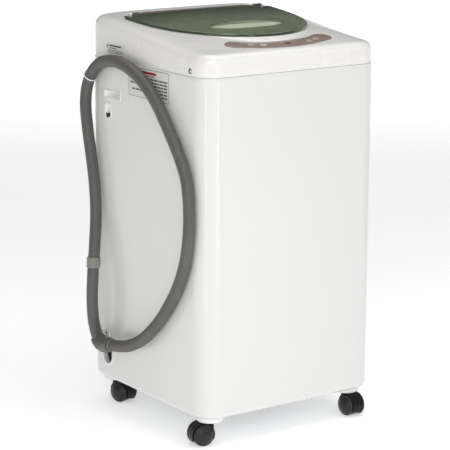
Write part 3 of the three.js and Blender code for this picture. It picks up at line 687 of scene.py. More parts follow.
def add_cabinet():
    rings = []
    for i in range(7):
        turn = radians(90 * i / 6)
        inset, z = 12 * (1 - sin(turn)), BASE_Z + 12 * (1 - cos(turn))
        rings.append(at_height(plan(inset), z))
    rings = [at_height(plan(15.5), BASE_Z)] + rings
    heights = [80, 90, 110, 160, 230, 300, 370, 440, 510, 580, 650, 710, 745, 762, 770]
    for z in heights:
        grow = min(1.0, (z - 74) / 60, (SEAM_Z - z) / 60)
        ring = []
        for x, y in plan(0):
            swell = swell_at(x, y) * grow
            ring.append((x + copysign(swell, x) if abs(x) > abs(y) else x,
                    y + copysign(swell, y) if abs(y) >= abs(x) else y, z))
        rings.append(ring)
    for inset, z in ((0, 775.2), (0.3, 776.2), (1.1, 776.7), (3, 776.7), (3, 765), (3, 600), (3, 400),
                     (3, 200), (3, 74), (6, 67), (12, 65), (15.5, 64.6)):
        rings.append(at_height(plan(inset), z))
    shell = piece("cabinet_wrapper_formed", *skin(rings, wrap=True), "root", ENAMEL, ["cabinet_wrapper"])
    carve(
        shell,
        box(-180, 180, 205, 240, 102, 778),
        through(lambda x: grip_ring(0, x), -240, -212), through(lambda x: grip_ring(0, x), 212, 240),
        through(lambda x: side_ring(SLOT, 0, x), -240, -212),
        through(lambda x: side_ring(OUTLET, 0, x), -240, -212),
    )
    gussets = []
    for sx in (-1, 1):
        for sy in (-1, 1):
            turn = -45 if sx * sy > 0 else 45
            seat = moved(sx * ROD_AT, sy * ROD_AT, 0) @ turned(turn, "Z")
            gussets.append(placed(box(-74, 74, -9, 9, 738, 742), seat))
    piece("cabinet_gussets", *merged(*gussets), "root", GALV, bevel=0.8)


def add_fittings():
    for side, node in ((-1, "side_grip_left"), (1, "side_grip_right")):
        wall = side * HALF
        floor = [(0.1, 17), (0.3, 16.6), (0.5, 15.0), (0.68, 11.8), (0.82, 7.6), (0.92, 3.6), (0.975, 0.9)]
        rings = [grip_ring(0, wall - side * depth, scale) for scale, depth in floor]
        for grow, out in ((0.2, 0.9), (1.2, 1.5), (2.2, 1.3), (2.9, 0.5), (3.0, 0.05), (-0.4, -0.2),
                (-0.4, -20)):
            rings.append(grip_ring(grow, wall + side * out))
        piece(node + "_moulded", *solid(rings), "root", BRIGHT, [node], smooth=50)
    rings = []
    for grow, out in ((-10.5, -5), (-8, -4.9), (-5.6, -3.6), (-3.8, -1.2), (-2.4, 0.7), (-0.8, 1.6),
                      (0.8, 1.6), (1.8, 0.8), (2.0, 0.1), (-0.4, -0.2), (-0.4, -14)):
        rings.append(side_ring(SLOT, grow, -HALF - out))
    piece("hook_slot_moulded", *solid(rings), "root", BRIGHT, ["hook_slot"], smooth=50)
    # painted shade: a dark wedge fills the slot's hole, standing in for the shade inside it
    pocket = [(-226.9, 133.5, 659), (-226.9, 146.5, 659), (-226.9, 141.5, 648.5)]
    points, faces = solid([pocket, [(-219.0, y, z) for _, y, z in pocket]])
    piece("hook_slot_hole_shade", points, faces, "root", DARK)
    rings = []
    for grow, out in ((-0.5, -10), (-0.8, -1), (-0.2, 0.7), (1.6, 1.5), (4.2, 1.2), (5.6, 0.1), (0.5, -0.1),
                      (0.4, -10)):
        rings.append(side_ring(OUTLET, grow, -HALF - out))
    piece("outlet_lip", *skin(rings, wrap=True), "root", BRIGHT, smooth=50)


def add_rear_panel():
    """A pressed plate with a raised field, cooling slots, ribs and screws."""
    rows = []
    half = 179.7
    columns = [-half, -half + 1, -166, -162, -158, -154] + [-150 + 12.5 * i for i in range(1, 24)] + [150,
            154, 158, 162, 166, half - 1, half]
    heights = [102.3, 103.3, 112, 116, 120, 124] + [130 + 12.5 * i for i in range(0, 50)] + [755, 759, 763,
            767, 775.7, 776.7]

    def out(x, z):
        into = min(abs(x) and (162 - abs(x)), z - 116, 763 - z)  # the middle column stays low: a groove
        step = min(1.0, max(0.0, into / 6))
        ribs = 0.0
        for centre in (186, 246, 306):
            along = max(0.0, min(1.0, (130 - abs(x)) / 8))
            ribs = max(ribs, along * max(0.0, 1 - abs(z - centre) / 8))
        return 222.6 + 1.6 * step * step * (3 - 2 * step) - 2.0 * ribs

    for z in heights:
        rows.append([(x, out(x, z), z) for x in columns])
    for z in reversed(heights):
        rows.append([(x, out(x, z) - 1.0, z) for x in columns])
    points, faces = skin(rows, loop=False, wrap=True)
    count = len(columns)
    for column in (0, count - 1):
        for i in range(len(heights) - 1):
            a, b = i * count + column, (i + 1) * count + column
            mirror = len(rows) - 1
            faces.append((a, b, (mirror - i - 1) * count + column, (mirror - i) * count + column))
    panel = piece("rear_panel_pressed", points, faces, "root", ENAMEL, ["rear_panel"])
    slots = []
    for row in range(4):
        for column in range(11):
            x, z = -100 + 20 * column, 640 + 22 * row
            ring = [(x + u, z + v) for u, v in flat_oval(0, 0, 2.2, 8, 20, 3)]
            slots.append(solid([[(u, y, v) for u, v in ring] for y in (215, 232)]))
    gland = placed(prism(flat_oval(0, 0, 9.6, 9.6, 32), -12, 12),
                   moved(GLAND_X, 222, GLAND_Z) @ turned(90, "X"))
    carve(panel, merged(*slots), gland)
    screws = []
    for x, z in [(sx * 171, z) for sx in (-1, 1) for z in (112, 330, 550, 768)] + [(sx * 70, 768)
            for sx in (-1, 1)] + [(sx * 70, 109.5) for sx in (-1, 1)]:
        screws.append(screw_head((x, 222.5, z), "Y", 4.0))
    piece("rear_panel_screws", *merged(*screws), "root", STEEL, smooth=30)


def screw_head(at, axis, r):
    """A pan head with a cross recess, facing out along an axis; "-X" faces the left."""
    head = lathe([(0.01, 0.4)] + rounded([(r * 0.3, 0.5), (r, 0.5), (r, 0)], 0.6) + [(r, -0.6), (0.01, -0.6)],
                 24)
    dome = []
    for x, y, z in head[0]:
        reach = hypot(x, y) / r
        lift = 0.9 * (1 - reach ** 2) if z > 0.3 else 0
        cross = -0.9 if z > 0.3 and min(abs(x), abs(y)) < r * 0.14 and reach < 0.6 else 0
        dome.append((x, y, z + lift + cross))
    turn = {"Y": turned(-90, "X"), "-X": turned(-90, "Y")}[axis]
    return placed((dome, head[1]), Matrix.Translation(at) @ turn)


def add_labels():
    """Two stickers on the left side with plain bars where real ones have words."""
    x = -225.35

    def sticker(name, y0, y1, z0, z1, out, bars):
        sheet = [(x - out, y, z) for y, z in flat_oval((y0 + y1) / 2, (z0 + z1) / 2, (y1 - y0) / 2,
                (z1 - z0) / 2, 60, 24)]
        under = [(x, p[1], p[2]) for p in sheet]
        paper = solid([under, sheet])
        piece(name, *paper, "root", PAPER, smooth=20)
        by_ink = {}
        for ink, (a, b, c, d) in bars:
            by_ink.setdefault(ink, []).append(box(x - out - 0.12, x - out, a, b, c, d))
        for number, (ink, boxes) in enumerate(by_ink.items()):
            piece(f"{name}_print_{number}", *merged(*boxes), "root", ink, smooth=20)

    y0, y1, z0, z1 = -95.0, 56.0, 711.0, 773.0
    bars = []
    for a, b, c, d in ((y0, y1, z1 - 0.9, z1), (y0, y1, z0, z0 + 0.9), (y0, y0 + 0.9, z0, z1),
                       (y1 - 0.9, y1, z0, z1)):
        bars.append((INK, (a, b, c, d)))
    bars.append((INK_RED, (-48, 6, 762.6, 767.8)))
    bars.append((INK_RED, (-42, 0, 757.6, 759.6)))
    lengths = [(0.96, 0.3), (0.93, 0.55), (0.97, 0.2), (0.62, 0.7), (0.95, 0.4), (0.5, 0.1)]
    for row, (reach, seed) in enumerate(lengths):
        z = 751.5 - 6.6 * row
        at, number = y0 + 6, 0
        while at < y0 + (y1 - y0) * reach - 8:
            size = 5 + 9 * abs(sin(seed * 37 + number * 2.3))
            bars.append((INK, (at, min(at + size, y1 - 6), z, z + 3.1)))
            at += size + 2.2
            number += 1
    sticker("side_label_large", y0, y1, z0, z1, 0.22, bars)
    small = [(INK_YELLOW, (139, 144, 801, 809)), (INK, (140.9, 142.1, 802.5, 807)),
             (INK, (88, 134, 804.6, 808)), (INK, (104, 134, 800.4, 802)),
             (INK, (84, 140, 796.6, 797.6)), (INK, (80, 140, 793.8, 794.8)), (INK, (92, 140, 791.0, 792.0))]
    x += INSET
    sticker("side_label_small", 76, 146, 788, 811, 0.18, small)


def add_cover_screw():
    at = (-223.6, -169, 788)
    ring = lathe([(3.0, -0.5)] + rounded([(3.4, 0.1), (5.2, 0.25), (6.0, -0.4)], 0.3) + [(3.0, -0.5)], 32)
    turn = turned(-90, "Y")
    piece("cover_screw_recess", *placed(ring, Matrix.Translation(at) @ turn), "root", SHELL)
    # painted shade: a dark disc under the screw head stands in for the shade in the screw's well
    well = lathe([(0.01, 0.35), (5.5, 0.3), (5.6, -0.6), (0.01, -0.6)], 24)
    piece("cover_screw_well_shade", *placed(well, Matrix.Translation(at) @ turn), "root", DARK)
    piece("cover_screw_head", *screw_head((-224.2, -171.4, 788), "-X", 2.7), "root", BRIGHT)


add_cabinet()
add_fittings()
add_rear_panel()
add_labels()
add_cover_screw()


# ---- top cover ----
def flat_height(x, y):
    plateau = 1 - min(1, abs(x) / 215) ** 6
    side = spline(SIDE_LINE, y)
    return side + (spline(CENTRE_LINE, y) - side) * plateau


def cover_height(x, y):
    inside = min(16, max(0, square_inside(x, y)))
    return flat_height(x, y) - 16 + sqrt(256 - (16 - inside) ** 2)


def lid_height(x, y):
    return 860.9 + 0.082 * y - 1.4e-4 * x * x


def add_cover():
    edge = outline(square_inside, 0)
    rings = [at_height(outline(square_inside, 0.5), 777.2)]
    rings.append(at_height(edge, 777.9))
    for share in (0.3, 0.65, 0.93):
        rings.append([(x, y, 777.9 + (cover_height(x, y) - 777.9) * share) for x, y in edge])
    for inset in (0.6, 1.6, 3.2, 5.4, 8.2, 11.4, 15):
        rings.append(draped(outline(square_inside, inset), cover_height))
    outer = outline(square_inside, 20)
    foot = outline(lid_inside, -8.5)
    for share in (0.0, 0.25, 0.5, 0.75, 1.0):
        ring = [(a[0] + (b[0] - a[0]) * share, a[1] + (b[1] - a[1]) * share) for a, b in zip(outer, foot)]
        rings.append(draped(ring, cover_height))
    for inset, rise in ((-5.2, 0.05), (-3.6, 0.3), (-2.4, 0.75), (-1.7, 0.93), (-0.4, 1.0), (2.4, 1.0),
                        (3.4, 0.9)):
        ring = []
        for x, y in outline(lid_inside, inset):
            top = lid_height(x, y) - SEAT_DROP
            ring.append((x, y, cover_height(x, y) + max(0.05, top - cover_height(x, y)) * rise))
        rings.append(ring)
    for inset, drop in ((4.4, 0.5), (5.4, 0.2), (8, 0), (14, 0), (19, 0), (21.4, -0.8), (22, -3)):
        ring = []
        for x, y in outline(lid_inside, inset):
            low = min(cover_height(x, y) - 1.2, lid_height(x, y) - 17)
            top = lid_height(x, y) - SEAT_DROP
            ring.append((x, y, low + max(0, top - low) * max(0, drop) + min(0, drop)))
        rings.append(ring)
    rings += [at_height(outline(lid_inside, 22), z) for z in (815, 800, 788.5)]
    rings += [at_height(outline(lid_inside, 19), z) for z in (787.5, 800)]
    rings.append(draped(outline(lid_inside, 12), cover_height, -8))
    rings.append(draped(outline(square_inside, 18), cover_height, -5))
    rings += [at_height(outline(square_inside, 4), z) for z in (805, 777.4)]
    cover = piece("top_cover_moulded", *skin(rings, wrap=True), "root", SHELL, ["top_cover"], smooth=60)
    seat = placed(crescent_slab(0.7, -2.1, 20), DECK)
    ports = [placed(prism(flat_oval(x, y, 10, 6.5), -25, 5), DECK) for x, y in BUTTONS.values()]
    inlet = placed(prism(flat_oval(0, 0, 15, 15, 40), -14, 14),
                   moved(INLET_X, 222, INLET_Z) @ turned(90, "X"))
    carve(cover, seat, *ports, inlet)


def quadratic(a, b, c, steps=10):
    return [((1 - t) ** 2 * a[0] + 2 * t * (1 - t) * b[0] + t * t * c[0],
             (1 - t) ** 2 * a[1] + 2 * t * (1 - t) * b[1] + t * t * c[1])
            for t in (i / steps for i in range(steps))]


def crescent(g=0.0):
    corners = [
        (-133 - g, 18), (-140 - g, 6), (-120 - g, -3 - g), (-60, -25 - g), (0, -25 - g), (60, -25 - g),
        (120 + g, -3 - g), (140 + g, 6), (133 + g, 18), (128 + g, 33 + g), (108, 34 + g), (100, 32 + g),
        (84, 23 + g), (50, 12 + g), (0, 12 + g), (-50, 12 + g), (-84, 23 + g), (-100, 32 + g),
        (-108, 34 + g), (-128 - g, 33 + g), (-133 - g, 18),
    ]
    result = []
    for i in range(0, len(corners) - 2, 2):
        result += quadratic(*corners[i:i + 3])
    return result


def crescent_slab(grow, z0, z1):
    """A crescent prism; its hollow outline needs whole end faces, not fans."""
    ring = crescent(grow)
    points, faces = skin([at_height(ring, z) for z in (z0, z1)])
    n = len(ring)
    return points, faces + [tuple(range(n - 1, -1, -1)), tuple(range(n, 2 * n))]


def add_fascia():
    rings = []
    for grow, z in ((-0.2, -1.7), (0, -1.4), (0, 0.5), (-0.35, 1.0), (-1.1, 1.25)):
        rings.append(at_height(crescent(grow), z))
    n = len(rings[0])
    points, faces = skin(rings)
    faces += [tuple(range(n - 1, -1, -1)), tuple(range(4 * n, 5 * n))]
    fascia = piece("control_fascia_moulded", *placed((points, faces), DECK), "root", TAUPE,
                   ["control_fascia"], smooth=30)
    cutters = []
    for x, y in [*BUTTONS.values(), WINDOW_AT]:
        cutters.append(placed(prism(flat_oval(x, y, 9.5, 6.0), -5, 5), DECK))
    carve(fascia, *cutters)
    sharpen(fascia, 0.25)
    paints = {"button_power": KEY_PINK, "button_start": KEY_PALE, "button_water_level": KEY_GREEN,
              "button_program": KEY_PINK}
    for name, (x, y) in BUTTONS.items():
        levels = [(0.0, -8.8), (0.0, 1.1), (0.3, 1.8), (1.0, 2.25), (2.2, 2.3), (4.5, 2.0)]
        rings = [at_height(flat_oval(x, y, 9 - by, max(0.6, 5.5 - by)), z) for by, z in levels]
        piece(name + "_cap", *placed(solid(rings), DECK), name + "_key", paints[name], [name], smooth=50)
    rings = [at_height(flat_oval(*WINDOW_AT, 9.0 - by, 5.5 - by), z)
             for by, z in ((0, -1.7), (0, 0.9), (0.3, 1.25), (1.0, 1.4), (3, 1.45))]
    piece("indicator_window_lens", *placed(solid(rings), DECK), "root", WINDOW, ["indicator_window"])
    marks = []
    for x, y, w in ((-9, 4, 1.1), (-3, 4, 1.1), (3, 4.2, 1.1), (9, 4.2, 1.1), (15, 4.4, 1.1), (21, 4.6, 1.1)):
        marks.append(slab(flat_oval(x, y, w, 1.1, 16), 1.2, 1.6, 0.15))
    for cx, cy in ((-78, 13), (-52, 4.5), (67, 6), (90, 15)):
        for k in range(3):
            marks.append(box(cx - 6 + 4.4 * k, cx - 6 + 4.4 * k + 3.0, cy, cy + 1.0, 1.2, 1.4))
    piece("fascia_print_and_lamps", *placed(merged(*marks), DECK), "root", KEY_PALE, smooth=25)


add_cover()
add_fascia()


# ---- lid ----
def scoop_ring(scale, drop=0.0, grow=0.0):
    """The finger recess's outline, shrunk by a scale, that much under the lid's surface."""
    ring = []
    for turn in TURNS:
        x = (SCOOP_HALF + grow) * scale * cos(turn)
        y = SCOOP_Y + (SCOOP_REACH + grow) * scale * sin(turn)
        level = lid_height(x, y) if drop < 1.5 else lid_height(0, SCOOP_Y)
        ring.append((x, y, level - drop))
    return ring


def lid_part(centre, normal):
    """Which of the lid's materials a face has: clear sheet, the recess's paler green with painted light, or
    the dark green with painted shade on the edges and the recess rim.
    """
    reach = hypot(centre.x / SCOOP_HALF, (centre.y - SCOOP_Y) / SCOOP_REACH)
    # painted shade: the recess rim and the steep edge faces take the dark green, standing in for the dark
    # lines of a clear sheet's edges
    if 0.97 < reach < 1.0 and centre.z > lid_height(centre.x, centre.y) - 1.5:
        return 2
    if reach <= 0.975:
        return 1
    return 2 if abs(normal.z) < 0.7 and lid_inside(centre.x, centre.y) < 1.6 else 0


def add_lid():
    rings = []
    for inset, z in ((0.6, -5.3), (0, -4.9), (0, -1.5), (0.35, -0.7), (1.1, -0.15), (2.2, 0)):
        rings.append(draped(outline(lid_inside, inset), lid_height, z))
    base = outline(lid_inside, 4)
    rim = scoop_ring(1.0)
    between = (0, 0.08, 0.2, 0.35, 0.5, 0.65, 0.8, 0.9, 0.95, 0.98)
    for share in between:
        ring = []
        for (x, y), (sx, sy, _) in zip(base, rim):
            px, py = x + (sx - x) * share, y + (sy - y) * share
            ring.append((px, py, lid_height(px, py)))
        rings.append(ring)
    floor = [(1.0, 0.25), (0.99, 1.2), (0.975, 4), (0.965, 8), (0.955, 11.5), (0.93, 14), (0.89, 15.2),
             (0.8, 15.5), (0.55, 15.5), (0.3, 15.5)]
    rings += [scoop_ring(scale, drop) for scale, drop in floor]
    upper, upper_faces = skin(rings, cap_last=True)
    inner = []
    for inset, z in ((3.2, -5.3), (3.6, -4.9), (4.0, -2.9)):
        inner.append(draped(outline(lid_inside, inset), lid_height, z))
    for share in between[1:]:
        ring = []
        for (x, y), (sx, sy, _) in zip(base, scoop_ring(1.0, 0, 2.5)):
            px, py = x + (sx - x) * share, y + (sy - y) * share
            ring.append((px, py, lid_height(px, py) - 2.7))
        inner.append(ring)
    inner += [scoop_ring(scale, drop + 2.4, 2.5) for scale, drop in floor]
    lower, lower_faces = skin(inner, cap_last=True)
    n = len(base)
    start = len(upper)
    faces = upper_faces + [tuple(i + start for i in face) for face in lower_faces]
    faces += [(j, (j + 1) % n, start + (j + 1) % n, start + j) for j in range(n)]
    barrels = []
    for side in (-1, 1):
        tube = lathe(rounded([(2.7, -9), (4.2, -9), (4.2, 9), (2.7, 9)], 0.5) + [(2.7, -9)], 28)
        barrels.append(placed(tube, moved(side * 160, HINGE_Y, HINGE_Z) @ turned(90, "Y")))
        barrels.append(box(side * 160 - 9, side * 160 + 9, LID_REAR - 3, HINGE_Y - 3.2, HINGE_Z - 2.4,
                HINGE_Z))
    piece("lid_clear_moulding", *merged((upper + lower, faces), *barrels), "lid_body",
          [GREEN, LIT_SCOOP_GREEN, LID_EDGE_SHADE_GREEN], ["lid"], smooth=50, pick=lid_part)


def strip_part(centre, normal):
    """The eyes in front of the strip have the cover's colour."""
    return 1 if centre.y < 136.4 else 0


def add_hinges():
    profile = [(136.5, 0.1), (136.5, 4.8), (137.1, 5.6), (138.2, 5.9), (145.0, 5.8), (146.0, 5.2),
               (146.4, 0.1)]
    rings = []
    for x in [-180, -179.6] + [-176 + 16 * k for k in range(23)] + [179.6, 180]:
        taper = min(1, 0.3 + (180 - abs(x)) / 60)
        rings.append([(x, y, cover_height(x, y) + rise * taper) for y, rise in profile])
    parts = [solid(rings)]
    for side in (-1, 1):
        eye = lathe(rounded([(2.8, -3), (4.0, -3), (4.0, 3), (2.8, 3)], 0.4) + [(2.8, -3)], 28)
        parts.append(placed(eye, moved(side * 174, HINGE_Y, HINGE_Z) @ turned(90, "Y")))
        parts.append(box(side * 174 - 3, side * 174 + 3, HINGE_Y + 3.2, 139, 864.4, 868.0))
    piece("hinge_strip_moulded", *merged(*parts), "root", [TAUPE_DARK, SHELL], ["hinge_strip"], bevel=0.3,
          pick=strip_part)
    for side, node in ((-1, "hinge_pin_left"), (1, "hinge_pin_right")):
        pin = lathe([(0.01, -13.5)] + rounded([(1.6, -13.5), (2.3, -13.0), (2.3, 13.0), (1.6, 13.5)], 0.3)
                    + [(0.01, 13.5)], 24)
        piece(node + "_ground", *placed(pin, moved(side * 164, HINGE_Y, HINGE_Z) @ turned(90, "Y")), "root",
              STEEL, [node])


add_lid()
add_hinges()


# ---- castors ----
def add_castor(name, sx, sy, turn, side):
    """A hooded ball castor: boss, bowl-shaped hood with its shank, and one domed wheel."""
    stem = moved(sx * CASTOR_AT, sy * CASTOR_AT, 0) @ turned(turn, "Z")
    profile = [(0.01, 50)] + rounded([(26.2, 50), (28.6, 51.2), (31.0, 57.5), (31.0, 61.6), (27, 61.7)],
            1.4) + [(25.5, 64.5), (0.01, 64.5)]
    piece("castor_boss_" + name + "_moulded", *placed(lathe(profile, 72), stem), "root", BOSS_WHITE,
          ["castor_boss_" + name])

    axle_line = stem @ moved(-TRAIL, HOOD_SHIFT * side, WHEEL_R) @ turned(-90 * side, "X")
    back = [(22, -27), (24.8, -26.0), (26.2, -23.2), (26.2, -15.6), (25.5, -14.8), (25.5, -12.4),
            (26.2, -11.6)]
    front = [(26.2, -2.2), (25.6, -1.5), (25.6, 0.8), (26.2, 1.5), (26.2, 5.6), (25.7, 6), (24.6, 6),
             (24.1, 5.5)]
    bowl = lathe([(0.01, -27)] + rounded(back + front + [(24.1, -23.4), (0.01, -23.4)], 0.5), 96)
    hood = piece("castor_hood_" + name + "_moulded", *placed(bowl, axle_line), "castor_" + name, BLACK,
                 ["castor_hood_" + name], smooth=40)
    rim = stem @ moved(-TRAIL, HOOD_SHIFT * side, RIM_Z) @ turned(RIM_TILT * side, "X")
    carve(hood, placed(box(-40, 40, -60, 60, -60, 0), rim))
    sharpen(hood, 0.3)

    hub = lathe([(0.01, -24)] + rounded([(7.9, -24), (7.9, -12.4), (3.6, -12.4), (3.6, 7.4), (3.0, 7.9)],
            0.4) + [(0.01, 7.9)], 32)
    reach = sqrt(24.6 ** 2 - (TRAIL - 7.4) ** 2) + WHEEL_R
    collar = lathe([(0.01, reach)] + rounded([(7.4, reach), (7.4, 49.4), (5, 49.5)], 0.5)
                   + [(5, 60), (4.4, 61.6), (0.01, 61.9)], 40)
    gusset = box(0.5, 6.8, -6.5, 6.5, 32, 46)
    piece("castor_shank_" + name, *merged(placed(hub, axle_line), placed(collar, stem), placed(gusset, stem)),
          "castor_" + name, BLACK, bevel=0.6)

    tyre = rounded([(3.9, 8.3), (3.9, -12), (21.4, -12), (22.9, -10.6), (22.9, 8.8), (21.8, 10.6),
                    (20.9, 10.9)], 0.8)
    dome = rounded([(20.9, 10.9), (20.5, 10.3), (19.8, 10.7), (16.5, 13.6), (12, 16.2), (6.5, 17.9),
                    (0.01, 18.4)], 0.9)
    outward = axle_line.inverted()

    def finish(centre, normal):
        local = outward @ centre
        return 1 if hypot(local.x, local.y) > 21.2 and local.z < 10 else 0

    piece("castor_wheel_" + name + "_moulded", *placed(lathe([(0.01, 8.3)] + tyre + dome[1:], 96), axle_line),
          "castor_" + name + "_wheel", [WHEEL_BLACK, TREAD], ["castor_wheel_" + name], smooth=40, pick=finish)


for castor, (sx, sy, turn, side) in CASTORS.items():
    add_castor(castor, sx, sy, turn, side)


# ---- base, tub and drive ----
def add_base():
    z0 = 65.3
    hole_ring = [(120 * cos(a), 120 * sin(a)) for a in full_turn(96)]

    def out(inset):
        half, r = HALF - inset, CORNER_R - inset
        result = []
        for a in full_turn(96):
            c, s = cos(a), sin(a)
            low, high = 50.0, 330.0
            for _ in range(24):
                m = (low + high) / 2
                x, y = abs(c * m), abs(s * m)
                dx, dy = x - (half - r), y - (half - r)
                if hypot(max(dx, 0), max(dy, 0)) + min(max(dx, dy), 0) < r:
                    low = m
                else:
                    high = m
            result.append((c * low, s * low))
        return result

    rings = [at_height(hole_ring, z0)]
    for inset, rise in ((19, 0), (18.2, 1), (18.2, 25.5), (20.6, 25.5), (21, 4.5), (23, 4)):
        rings.append(at_height(out(inset), z0 + rise))
    for scale, rise in ((1.03, 4), (1.02, 9), (1, 9)):
        rings.append([(x * scale, y * scale, z0 + rise) for x, y in hole_ring])
    base = piece("base_frame_pressed", *skin(rings, wrap=True), "root", GALV, ["base_frame"])
    sharpen(base, 0.8)


def add_tub():
    shell = rounded([(22, 205), (176, 205), (196.6, 225), (196.6, 690), (197, 692), (197, 705), (193.2, 705),
                     (193, 690), (193, 227), (175, 209), (22, 209)], 6)
    body = lathe(shell + [(22, 205)], 96)
    ribs = []
    for z in (300, 400, 500, 600):
        ribs.append(lathe([(196.2, z - 1.5), (198.8, z - 1), (198.8, z + 1), (196.2, z + 1.5)], 96,
                closed=True))
    for k in range(12):
        turn = turned(30 * k + 15, "Z")
        ribs.append(placed(box(50, 170, -1.5, 1.5, 196, 206), turn))
    lugs = []
    for sx in (-1, 1):
        for sy in (-1, 1):
            turn = moved(sx * 150, sy * 150, 0) @ Matrix.Rotation(atan2(sy, sx), 4, "Z")
            ring = lathe([(5.6, 330), (12, 330), (12, 344), (5.6, 344)], 32, closed=True)
            lugs.append(placed(ring, moved(sx * ROD_AT, sy * ROD_AT, 0)))
            lugs.append(placed(box(-16, 10, -11, 11, 331, 343), turn))
    piece("outer_tub_moulded", *merged(body, *ribs, *lugs), "tub", TUB_PP, ["outer_tub"], smooth=40)
    ring = rounded([(158, 705.4), (199.6, 705.4), (199.8, 713), (197, 720.6), (170, 721), (160, 719),
                    (158, 712)], 3)
    piece("tub_ring_moulded", *lathe(ring + [(158, 705.4)], 96), "tub", TUB_PP, ["tub_ring"])


def hole_part(centre, normal):
    """The floor of a hole, painted dark as the shade seen through the open hole, or the steel about it."""
    return 1 if 174.02 < hypot(centre.x, centre.y) < 174.12 else 0


def add_basket():
    """A drawn drum with upright beads and rows of holes, its base, and the hub below."""
    rings = []
    sides = 144

    def around(r, z, bead=0.0):
        ring = []
        for a in full_turn(sides):
            rr = r - bead * max(0.0, cos(a * 12)) ** 6
            ring.append((rr * cos(a), rr * sin(a), z))
        return ring

    for r, z, bead in ((9.6, 128, 0), (13.8, 128, 0), (13.8, 230, 0), (60, 230, 0), (157, 232, 0),
                       (168, 237, 0), (DRUM_OUT, 250, 0), (DRUM_OUT, 270, 0)):
        rings.append(around(r, z, bead))
    for z in range(290, 660, 12):
        grow = min(1, (z - 280) / 30, (655 - z) / 30)
        rings.append(around(DRUM_OUT, z, 3.2 * max(0, grow)))
    for r, z in ((DRUM_OUT, 660), (DRUM_OUT, 667.8), (DRUM_IN, 667.8), (DRUM_IN, 660)):
        rings.append(around(r, z))
    for z in range(650, 290, -12):
        grow = min(1, (z - 280) / 30, (655 - z) / 30)
        rings.append(around(DRUM_IN, z, 3.2 * max(0, grow)))
    for r, z in ((DRUM_IN, 270), (DRUM_IN, 252), (167, 239), (156, 234), (60, 232.5), (9.6, 232.5)):
        rings.append(around(r, z))
    piece("spin_basket_drawn", *skin(rings, wrap=True), "basket", DRUM, ["spin_basket"], smooth=40)
    dimples = []
    for row in range(11):
        for column in range(36):
            angle = radians(column * 10 + (5 if row % 2 else 0))
            if abs((degrees(angle) + 15) % 30 - 15) < 4.9:
                continue
            ring = lathe([(0.01, 0.12), (1.7, 0.12), (2.6, 0.45), (3.1, 0.05), (3.1, -0.3), (0.01, -0.3)], 10)
            z = 310 + row * 31
            place = Matrix.Rotation(angle, 4, "Z") @ moved(DRUM_IN, 0, z) @ turned(-90, "Y")
            dimples.append(placed(ring, place))
    piece("spin_basket_holes", *merged(*dimples), "basket", [DRUM, DARK], smooth=50, pick=hole_part)
    ring = rounded([(156, 668.4), (DRUM_OUT, 668.4), (DRUM_OUT, 690), (173, 697.6), (160, 697.8), (156, 692)],
                   3)
    piece("balance_ring_moulded", *lathe(ring + [(156, 668.4)], 96), "basket", BLUE_GREY, ["balance_ring"])
    levels = [(0, 167.8), (0, 158), (2.5, 155), (7, 154.2)]
    rings = []
    for by, y in levels:
        ring = flat_oval(0, 475, 28 - by, 55 - by, 48, 6)
        rings.append([(u, y, v) for u, v in ring])
    piece("lint_filter_cage", *solid(rings), "basket", BLUE_GREY, ["lint_filter"])
    mesh = [box(-18 + 7.2 * k, -16.4 + 7.2 * k, 153.6, 154.6, 434, 516)
            for k in range(6)] + [box(-20, 20, 153.4, 154.4, 440 + 12 * k, 441.4 + 12 * k) for k in range(7)]
    piece("lint_filter_bars", *merged(*mesh), "basket", WHITE, bevel=0.3)


def add_pulsator():
    """A dished disc with three swept vanes that meet at a rounded hub."""
    rings = []
    sides = 180

    def height(r, a):
        vane = 0.5 + 0.5 * cos(3 * (a - r / 170))
        lift = 14 * vane ** 5 * max(0, min(1, (132 - r) / 26)) * min(1, r / 30)
        hub = 22 * max(0, 1 - (r / 40) ** 2) ** 0.8
        return 243 + 6 * (1 - r / 138) + max(lift, hub) + 0.25 * min(lift, hub)

    radii = [0.5, 6, 12, 18, 24, 30, 36, 44, 54, 64, 74, 84, 94, 104, 112, 120, 126, 132, 136, 137.6]
    for r in radii:
        rings.append([(r * cos(a), r * sin(a), height(r, a)) for a in full_turn(sides)])
    for r, z in ((138, 241.5), (137.4, 238.4), (60, 238.4), (8.5, 238.4), (8.5, 230)):
        rings.append([(r * cos(a), r * sin(a), z) for a in full_turn(sides)])
    piece("pulsator_moulded", *skin(rings, cap_first=True), "wash_drive", BLUE_GREY, ["pulsator"])
    screw = lathe([(0.01, 273.4), (5.5, 272.6), (7, 271), (7, 268), (0.01, 268)], 28)
    piece("pulsator_screw", *screw, "wash_drive", STEEL)


